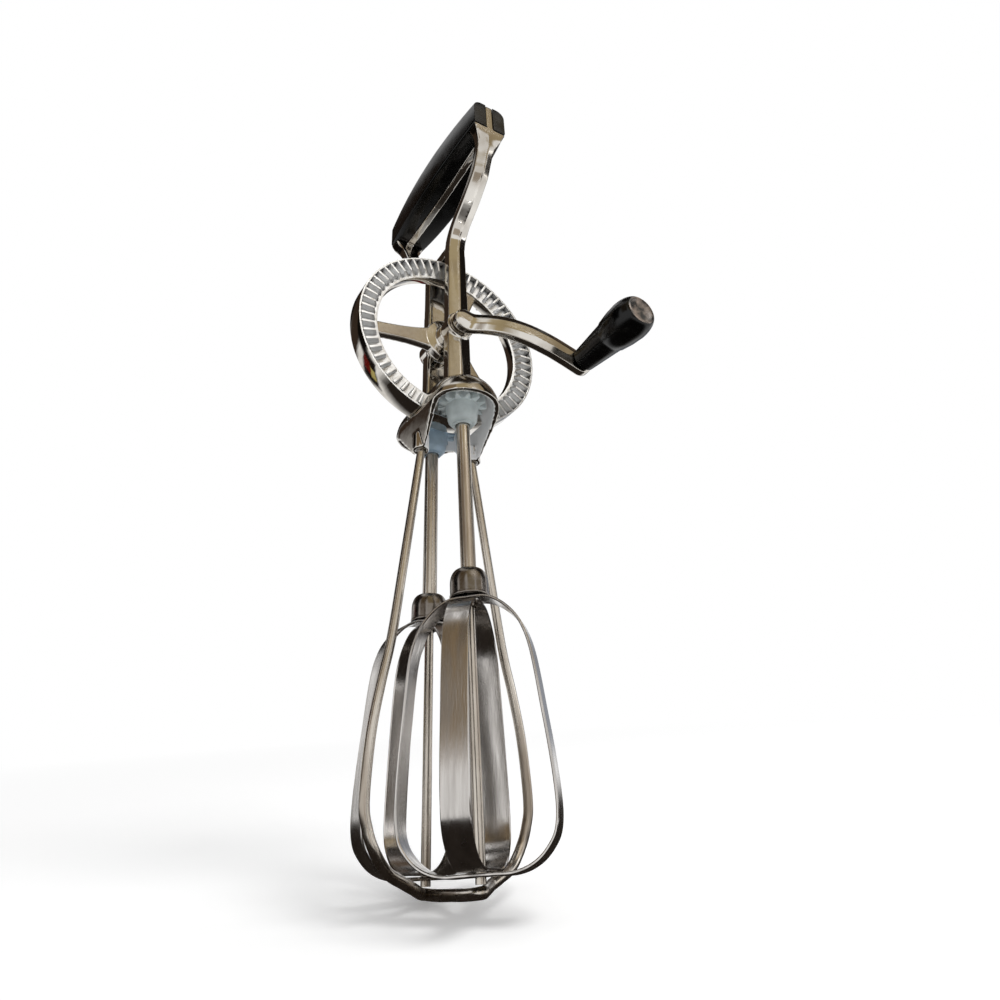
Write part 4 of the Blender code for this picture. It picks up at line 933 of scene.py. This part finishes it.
def make_beater(label):
    p = layout()
    g, w = p.g, p.w
    place = beater_place(label)
    body = f"{label}_beater"
    if label == "near":
        side, slot, finish = -1, "pale_nylon", nylon("nylon_pale", colours().pale_nylon)
    else:
        side, slot, finish = 1, "blue_grey_nylon", nylon("nylon_blue_grey", colours().blue_nylon)

    tip = p.tooth_arc * PINION_TIP_SHARE / p.pinion_tip_r
    root = p.tooth_arc * PINION_ROOT_SHARE / p.pinion_root_r
    outline = []
    for i in range(PINION_TEETH):
        middle = -side * QUARTER + math.tau * i / PINION_TEETH
        for radius, angle in ((p.pinion_root_r, -root), (p.pinion_tip_r, -tip),
                              (p.pinion_tip_r, tip), (p.pinion_root_r, root)):
            angle += middle
            outline.append((radius * math.cos(angle), radius * math.sin(angle)))
    pinion = add_piece(f"{label}_pinion_moulding", prism(outline, p.tooth_low, p.tooth_high),
                       finish, body, [f"{label}_pinion"], place)
    bevel(pinion, g.pinion_edge, segments=3, angle=25)
    hub_r, collar_r = p.pinion_root_r - p.gap, p.bore_r + g.pinion_collar_w
    low_r = hub_r - g.pinion_hub_taper
    round_end = [(collar_r + (low_r - collar_r) * math.sin(a),
                  p.hub_low + g.pinion_collar_w + g.pinion_hub_round * (1 - math.cos(a)))
                 for a in [QUARTER * i / 12 for i in range(13)]]
    hub = turned([(0, p.hub_low), (collar_r, p.hub_low)] + round_end
                 + [(hub_r, p.tooth_low + p.gap), (0, p.tooth_low + p.gap)])
    merge(pinion, hub, "UNION", place)
    merge(pinion, rod(p.bore_r, p.hub_low - w.cap_h, p.tooth_high + w.cap_h), "DIFFERENCE", place)
    soften(pinion, 30)

    low, high = p.blade_top - 2 * p.blade_step - p.gap, p.tooth_high - p.gap
    inner_r = w.tube_r - w.tube_wall
    tube = turned([(inner_r, low), (w.tube_r, low), (w.tube_r, high), (inner_r, high)], steps=64)
    pivot = rod(w.rod_r, p.blade_low - w.wire_below + w.wire_r + p.gap,
                p.tooth_high + p.c.pivot_boss_l - p.gap)
    steel = metal("drawn_steel_satin")
    add_piece(f"{label}_tube_drawn", tube, steel, body, [f"{label}_tube"], place)
    add_piece(f"{label}_rod_drawn", pivot, steel, "frame",
              [f"{label}_pivot_rod"], place)

    dome, lip = w.cap_h / 2, w.cap_lip_h / 2
    outer = arc((w.cap_r, p.cap_low + lip), (w.cap_lip, lip), -QUARTER, QUARTER, steps=8)
    outer += arc((p.bore_r + w.cap_wall, p.cap_top - dome),
                 (w.cap_r - p.bore_r - w.cap_wall, dome), 0, QUARTER, steps=14)
    inner = [(w.cap_r - w.cap_wall, p.cap_low)]
    inner += arc((p.bore_r, p.cap_top - w.cap_wall - dome),
                 (w.cap_r - w.cap_wall - p.bore_r, dome), 0, QUARTER, steps=10)
    cap = turned(outer + [(p.bore_r, p.cap_top)] + inner[::-1])
    add_piece(f"{label}_cap_pressing", cap, metal("nickel_dark"), body,
              [f"{label}_cap"], place)

    for kind, angle, inset in (("outer", BLADE_ANGLES[label][0], 0.0),
                               ("inner", BLADE_ANGLES[label][1], p.blade_step)):
        make_blade(p, f"{label}_{kind}", angle, inset, place, body)


def make_blade(p, name, angle, inset, place, body):
    """A flat strip bent to a closed loop, with rolled edges and a hole top and bottom."""
    w = p.w
    low, high = p.blade_low + inset, p.blade_top - inset
    half = [(w.blade_r * out, 0, low + (high - low) * up) for out, up in BLADE_OUTLINE_SHARES]
    half = smooth_path(half, steps=4)
    line = half + [Vector((-point.x, 0, point.z)) for point in half[-2:0:-1]]
    edge = w.blade_t * BLADE_EDGE_SHARE
    x, y = w.blade_w / 2, w.blade_t
    section = [(x - edge, 0), (x, edge), (x, y - edge), (x - edge, y),
               (edge - x, y), (-x, y - edge), (-x, edge), (edge - x, 0)]
    bm = bmesh.new()
    loops = []
    for i, point in enumerate(line):
        along = (line[(i + 1) % len(line)] - line[i - 1]).normalized()
        inward = Vector((-along.z, 0, along.x))
        loops.append([bm.verts.new(point + Vector((0, across, 0)) + inward * depth)
                      for across, depth in section])
    for a, b in zip(loops, loops[1:] + loops[:1]):
        for i in range(len(section)):
            bm.faces.new((a[i - 1], a[i], b[i], b[i - 1]))
    blade = add_piece(f"{name}_strip", bm, metal("stainless_strip_rolled"), body,
                      [f"{name}_blade"], place @ Matrix.Rotation(angle, 4, "Z"), smooth=30)
    for radius, z in ((p.bore_r, high), (w.rod_r + w.rod_clear, low)):
        merge(blade, rod(radius, z - 2 * w.blade_t, z + 2 * w.blade_t), "DIFFERENCE", place)
    soften(blade, 30)


def make_wire():
    p = layout()
    w = p.w
    lean = beater_place("far")
    foot_at = lean @ Vector((0, 0, p.blade_low))
    rod_at = lean @ Vector((0, 0, p.blade_low - w.wire_below))
    leg_h = p.wire_top - foot_at.z
    leg = [(-w.wire_top_spread - (w.wire_spread - w.wire_top_spread) * out, 0,
            p.wire_top - leg_h * down) for out, down in LEG_SHARES]
    foot = [(-w.wire_spread * x, rod_at.y * y, foot_at.z - w.wire_below * z)
            for x, y, z in FOOT_SHARES]
    wire_z = foot_at.z - w.wire_below
    half = leg + foot + [(0, rod_at.y, wire_z), (0, rod_at.y / 2, wire_z - w.wire_sag)]
    other = [(-x, -y, z) for x, y, z in reversed(half)]
    path = smooth_path(half + [(0, 0, wire_z - w.wire_sag)] + other, steps=8)
    top = Vector((w.wire_top_spread, 0, p.wire_top + w.wire_socket - p.gap))
    path = [Vector((-top.x, 0, top.z))] + path + [top]
    curve = bpy.data.curves.new("wire_loop", "CURVE")
    curve.dimensions = "3D"
    curve.bevel_depth = w.wire_r
    curve.bevel_resolution = 6
    curve.use_fill_caps = True
    spline = curve.splines.new("POLY")
    spline.points.add(len(path) - 1)
    for point, at in zip(spline.points, path):
        point.co = (*at, 1)
    curve.materials.append(metal("drawn_steel_satin"))
    dress(link_object("wire_loop", curve), "frame", ["wire_frame"])


def dress_small_parts():
    """Give the frame's own pins, washers and axle their finish."""
    finishes = {"polished_steel": metal("drawn_steel_satin"),
                "chrome_plate": metal("chrome_plate_bright")}
    small = ("axle", "rear_washer", "crank_washer", "knob_pin", "grip_pin_near", "grip_pin_far")
    for row in frame["record"]["subparts"]:
        if row["node"] in small:
            slots = frame["nodes"][row["node"]].data.materials
            slots.clear()
            slots.append(finishes[row["material_slot"]])


# ---------------------------------------------------------------- stage


def make_camera():
    stage = bpy.context.scene.egg_beater_stage
    data = bpy.data.cameras.new("camera")
    data.sensor_width = 36
    data.lens = stage.lens
    data.shift_x, data.shift_y = stage.shift
    data.clip_start, data.clip_end = 0.005, 20
    camera = link_object("camera", data)
    level = Vector((math.sin(stage.yaw), math.cos(stage.yaw), 0))
    ahead = level * math.cos(stage.pitch) + Vector((0, 0, math.sin(stage.pitch)))
    right = Vector((level.y, -level.x, 0))
    up = right.cross(ahead)
    turn = Matrix.Rotation(-stage.roll, 3, ahead)
    right, up = turn @ right, turn @ up
    camera.matrix_world = (Matrix.Translation(stage.place)
                           @ Matrix((right, up, -ahead)).transposed().to_4x4())
    bpy.context.scene.camera = camera


def toward(azimuth, elevation):
    """Direction from the tool, in degrees: 0, 0 is straight out past the crank, +90 is +X."""
    azimuth, elevation = math.radians(azimuth), math.radians(elevation)
    out = math.cos(elevation)
    return Vector((math.sin(azimuth) * out, -math.cos(azimuth) * out, math.sin(elevation)))


def place_facing(obj, azimuth, elevation, distance):
    """Put a lamp or card at a distance from the tool and turn it towards the tool."""
    ray = toward(azimuth, elevation)
    obj.location = MIDDLE + ray * distance
    obj.rotation_euler = ray.to_track_quat("Z", "Y").to_euler()


def make_lamp(name, azimuth, elevation, distance, size, power):
    data = bpy.data.lights.new(name, "AREA")
    data.shape = "DISK"
    data.size = size
    data.energy = power
    lamp = link_object(name, data)
    place_facing(lamp, azimuth, elevation, distance)
    lamp.visible_camera = False


def make_sheet(name, size):
    """A flat stage piece, a square of the given side."""
    bm = bmesh.new()
    bmesh.ops.create_grid(bm, x_segments=1, y_segments=1, size=size / 2)
    mesh = bpy.data.meshes.new(name)
    bm.to_mesh(mesh)
    bm.free()
    sheet = link_object(name, mesh)
    return sheet


def make_card(name, colour, azimuth, elevation, width, height, distance=0.8):
    """A plain card that only the metal's reflections show."""
    card = make_sheet(f"card_{name}", 1)
    card.scale = (width, height, 1)
    place_facing(card, azimuth, elevation, distance)
    paint_card(card, colour)


def paint_card(card, colour, solid=0.36):
    """Make a sheet glow, solid up to the given share of its side and clear at its edges."""
    material, _ = new_material(card.name)
    glow = add_node(material, "ShaderNodeEmission", {"Color": (*linear(colour), 1)})
    place = add_node(material, "ShaderNodeTexCoord").outputs["Generated"]
    around = add_node(material, "ShaderNodeVectorMath",
                      {"operation": "SUBTRACT", 1: (0.5, 0.5, 0)}, {0: place})
    out = add_node(material, "ShaderNodeVectorMath", {"operation": "ABSOLUTE"},
                   {0: around.outputs[0]})
    parts = add_node(material, "ShaderNodeSeparateXYZ", links={0: out.outputs[0]}).outputs
    edge = spread(material, maths(material, "MAXIMUM", parts[0], parts[1]), solid, 0.5)
    clear = add_node(material, "ShaderNodeBsdfTransparent")
    feed(material, "Material Output",
         links={0: mix_shaders(material, edge, glow.outputs[0], clear.outputs[0])})
    card.data.materials.append(material)
    card.visible_camera = card.visible_diffuse = card.visible_shadow = False
    card.visible_transmission = card.visible_volume_scatter = False


def seen_rays(owner):
    """1 for rays that show the background: from the camera, mirrored or through glass."""
    rays = add_node(owner, "ShaderNodeLightPath").outputs
    either = maths(owner, "MAXIMUM", rays["Is Camera Ray"], rays["Is Glossy Ray"])
    return maths(owner, "MAXIMUM", either, rays["Is Transmission Ray"])


def make_world():
    """Even light for the object, and the pale background wherever it is seen or mirrored."""
    world = bpy.data.worlds.new("room")
    bpy.context.scene.world = world
    world.use_nodes = True
    sky = bpy.context.scene.egg_beater_stage.sky
    even = feed(world, "Background", {0: (1, 1, 1, 1), 1: sky})
    shown = add_node(world, "ShaderNodeBackground", {"Color": (*colours().floor, 1)})
    feed(world, "World Output",
         links={0: mix_shaders(world, seen_rays(world), even.outputs[0], shown.outputs[0])})


FLOOR_SIDE = 6.0
# How far out the floor starts to fade into the backdrop, and where it has
FLOOR_FADE = (0.25, 0.75)
SHEET_LIFT = 0.0002


def make_floor():
    """Paper under the wire's foot, tipped towards the camera, with the tool's soft shadow.

    It fades into the backdrop and can't be seen from behind. A dark card on it shows in mirrors.
    """
    stage, paper = bpy.context.scene.egg_beater_stage, (*colours().floor, 1)
    floor = make_sheet("floor", FLOOR_SIDE)
    right = Vector((math.cos(stage.yaw), -math.sin(stage.yaw), 0))
    floor.rotation_euler = Matrix.Rotation(stage.floor_tilt, 3, right).to_euler()
    up = floor.rotation_euler.to_matrix() @ Vector((0, 0, 1))
    low = min((obj.matrix_world @ vert.co).dot(up) for obj in frame["nodes"].values()
              for vert in obj.data.vertices)
    foot = Vector((0, 0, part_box("wire_frame")[0].z))
    floor.location = foot + up * (low - foot.dot(up) - 2 * SHEET_LIFT)

    material, _ = new_material("floor_paper")
    lift = add_node(material, "ShaderNodeMath", {"operation": "MULTIPLY", 1: stage.floor_lift},
                    {0: seen_rays(material)})
    lit = feed(material, SHADER, {"Base Color": paper, "Roughness": 1, "Specular IOR Level": 0,
                                  "Emission Color": paper}, {"Emission Strength": lift.outputs[0]})
    place = add_node(material, "ShaderNodeTexCoord").outputs["Object"]
    away = add_node(material, "ShaderNodeVectorMath", {"operation": "LENGTH"}, {0: place})
    far = maths(material, "MULTIPLY", spread(material, away.outputs["Value"], *FLOOR_FADE),
                seen_rays(material))
    plain = add_node(material, "ShaderNodeEmission", {"Color": paper})
    front = mix_shaders(material, far, lit.outputs[0], plain.outputs[0])
    clear = add_node(material, "ShaderNodeBsdfTransparent")
    back = add_node(material, "ShaderNodeNewGeometry").outputs["Backfacing"]
    feed(material, "Material Output",
         links={0: mix_shaders(material, back, front, clear.outputs[0])})
    floor.data.materials.append(material)

    dark = make_sheet("card_floor", stage.dark_floor)
    dark.rotation_euler = floor.rotation_euler
    dark.location = floor.location + up * SHEET_LIFT
    paint_card(dark, "#2b2622", 0.28)


# Lamps: azimuth and elevation in degrees, distance and size in metres
LAMPS = {"key": (12, 46, 1.1, 0.5), "fill": (65, 20, 1.1, 0.5), "front": (-30, -38, 0.42, 0.12)}
# Cards: name, colour, azimuth and elevation in degrees, width, height and the near ones' distance
CARDS = [
    ("tan_front", "#b5a583", -18, 40, 0.74, 0.84),
    ("tan_right", "#aa9a7d", 30, 40, 0.56, 0.84),
    ("black_right", "#1d1916", 70, 38, 0.56, 0.90),
    ("blue_grey", "#9a9ea6", 118, 14, 0.55, 0.40),
    ("brown_back_right", "#5e5044", 118, 48, 0.64, 0.46),
    ("dark_back", "#231e1a", 168, 34, 0.70, 0.80),
    ("brown_back", "#3a2f27", -148, 38, 0.50, 0.66),
    ("black_left", "#120f0d", -118, 30, 0.56, 1.00),
    ("brown_left", "#85735a", -72, 36, 0.60, 0.86),
    ("dark_top", "#2b241e", 40, 84, 0.74, 0.64),
    ("pale_front", "#b5aa9d", -17, -14, 0.42, 0.30),
    ("brown_front", "#5a5047", 24, -14, 0.56, 0.34),
    ("dark_low", "#1b1613", -138, -1, 0.30, 0.18, 0.42),
    ("red_low", "#6a1a15", -137, 4, 0.10, 0.08, 0.36),
    ("yellow_low", "#b8ab6a", -140, -5, 0.08, 0.05, 0.34),
]


def make_stage():
    stage = bpy.context.scene.egg_beater_stage
    bpy.context.scene.view_settings.view_transform = "Standard"
    make_camera()
    make_world()
    make_floor()
    for name, lamp in LAMPS.items():
        make_lamp(name, *lamp, getattr(stage, name))
    for card in CARDS:
        make_card(*card)


# ---------------------------------------------------------------- add-on


class EGGBEATER_OT_stage(bpy.types.Operator):
    """Add the camera, lamps, cards, floor and backdrop"""
    bl_idname = "egg_beater.stage"
    bl_label = "Stage"

    def execute(self, context):
        make_stage()
        return {"FINISHED"}


class EGGBEATER_OT_casting(bpy.types.Operator):
    """Build the casting with its arms, columns and hood"""
    bl_idname = "egg_beater.casting"
    bl_label = "Frame Casting"

    def execute(self, context):
        make_casting()
        return {"FINISHED"}


class EGGBEATER_OT_grip(bpy.types.Operator):
    """Build both halves of the hand grip"""
    bl_idname = "egg_beater.grip"
    bl_label = "Hand Grip"

    def execute(self, context):
        make_grip()
        return {"FINISHED"}


class EGGBEATER_OT_wheel(bpy.types.Operator):
    """Build the wheel with teeth on both faces"""
    bl_idname = "egg_beater.wheel"
    bl_label = "Crown Wheel"

    def execute(self, context):
        make_wheel()
        return {"FINISHED"}


class EGGBEATER_OT_crank(bpy.types.Operator):
    """Build the ridged crank"""
    bl_idname = "egg_beater.crank"
    bl_label = "Crank"

    def execute(self, context):
        make_crank()
        return {"FINISHED"}


class EGGBEATER_OT_knob(bpy.types.Operator):
    """Build the knob"""
    bl_idname = "egg_beater.knob"
    bl_label = "Knob"

    def execute(self, context):
        make_knob()
        return {"FINISHED"}


class EGGBEATER_OT_beaters(bpy.types.Operator):
    """Build both beaters, each with its pinion, tube, cap and blades"""
    bl_idname = "egg_beater.beaters"
    bl_label = "Beaters"

    def execute(self, context):
        for label in LABELS:
            make_beater(label)
        return {"FINISHED"}


class EGGBEATER_OT_wire(bpy.types.Operator):
    """Build the wire loop under the casting"""
    bl_idname = "egg_beater.wire"
    bl_label = "Wire Loop"

    def execute(self, context):
        make_wire()
        return {"FINISHED"}


class EGGBEATER_OT_small_parts(bpy.types.Operator):
    """Finish the axle, pins and washers"""
    bl_idname = "egg_beater.small_parts"
    bl_label = "Pins and Washers"

    def execute(self, context):
        dress_small_parts()
        return {"FINISHED"}


STEPS = [
    EGGBEATER_OT_stage, EGGBEATER_OT_casting, EGGBEATER_OT_grip, EGGBEATER_OT_wheel,
    EGGBEATER_OT_crank, EGGBEATER_OT_knob, EGGBEATER_OT_beaters, EGGBEATER_OT_wire,
    EGGBEATER_OT_small_parts,
]


class VIEW3D_PT_egg_beater(bpy.types.Panel):
    """Lists the settings and the steps"""
    bl_label = "Rotary Egg Beater"
    bl_space_type = "VIEW_3D"
    bl_region_type = "UI"
    bl_category = "Egg Beater"

    def draw(self, context):
        for name, group in GROUPS.items():
            box = self.layout.box()
            for key in group.__annotations__:
                box.prop(getattr(context.scene, name), key)
        for step in STEPS:
            self.layout.operator(step.bl_idname)


def register():
    for cls in (*GROUPS.values(), *STEPS, VIEW3D_PT_egg_beater):
        bpy.utils.register_class(cls)
    for name, group in GROUPS.items():
        setattr(bpy.types.Scene, name, PointerProperty(type=group))


def unregister():
    for name in GROUPS:
        delattr(bpy.types.Scene, name)
    for cls in (VIEW3D_PT_egg_beater, *reversed(STEPS), *reversed(GROUPS.values())):
        bpy.utils.unregister_class(cls)


def main():
    register()
    build = bpy.ops.egg_beater
    for step in (build.stage, build.casting, build.grip, build.wheel, build.crank, build.knob,
                 build.beaters, build.wire, build.small_parts):
        step()
    bpy.context.view_layer.update()


if __name__ == "__main__":
    main()
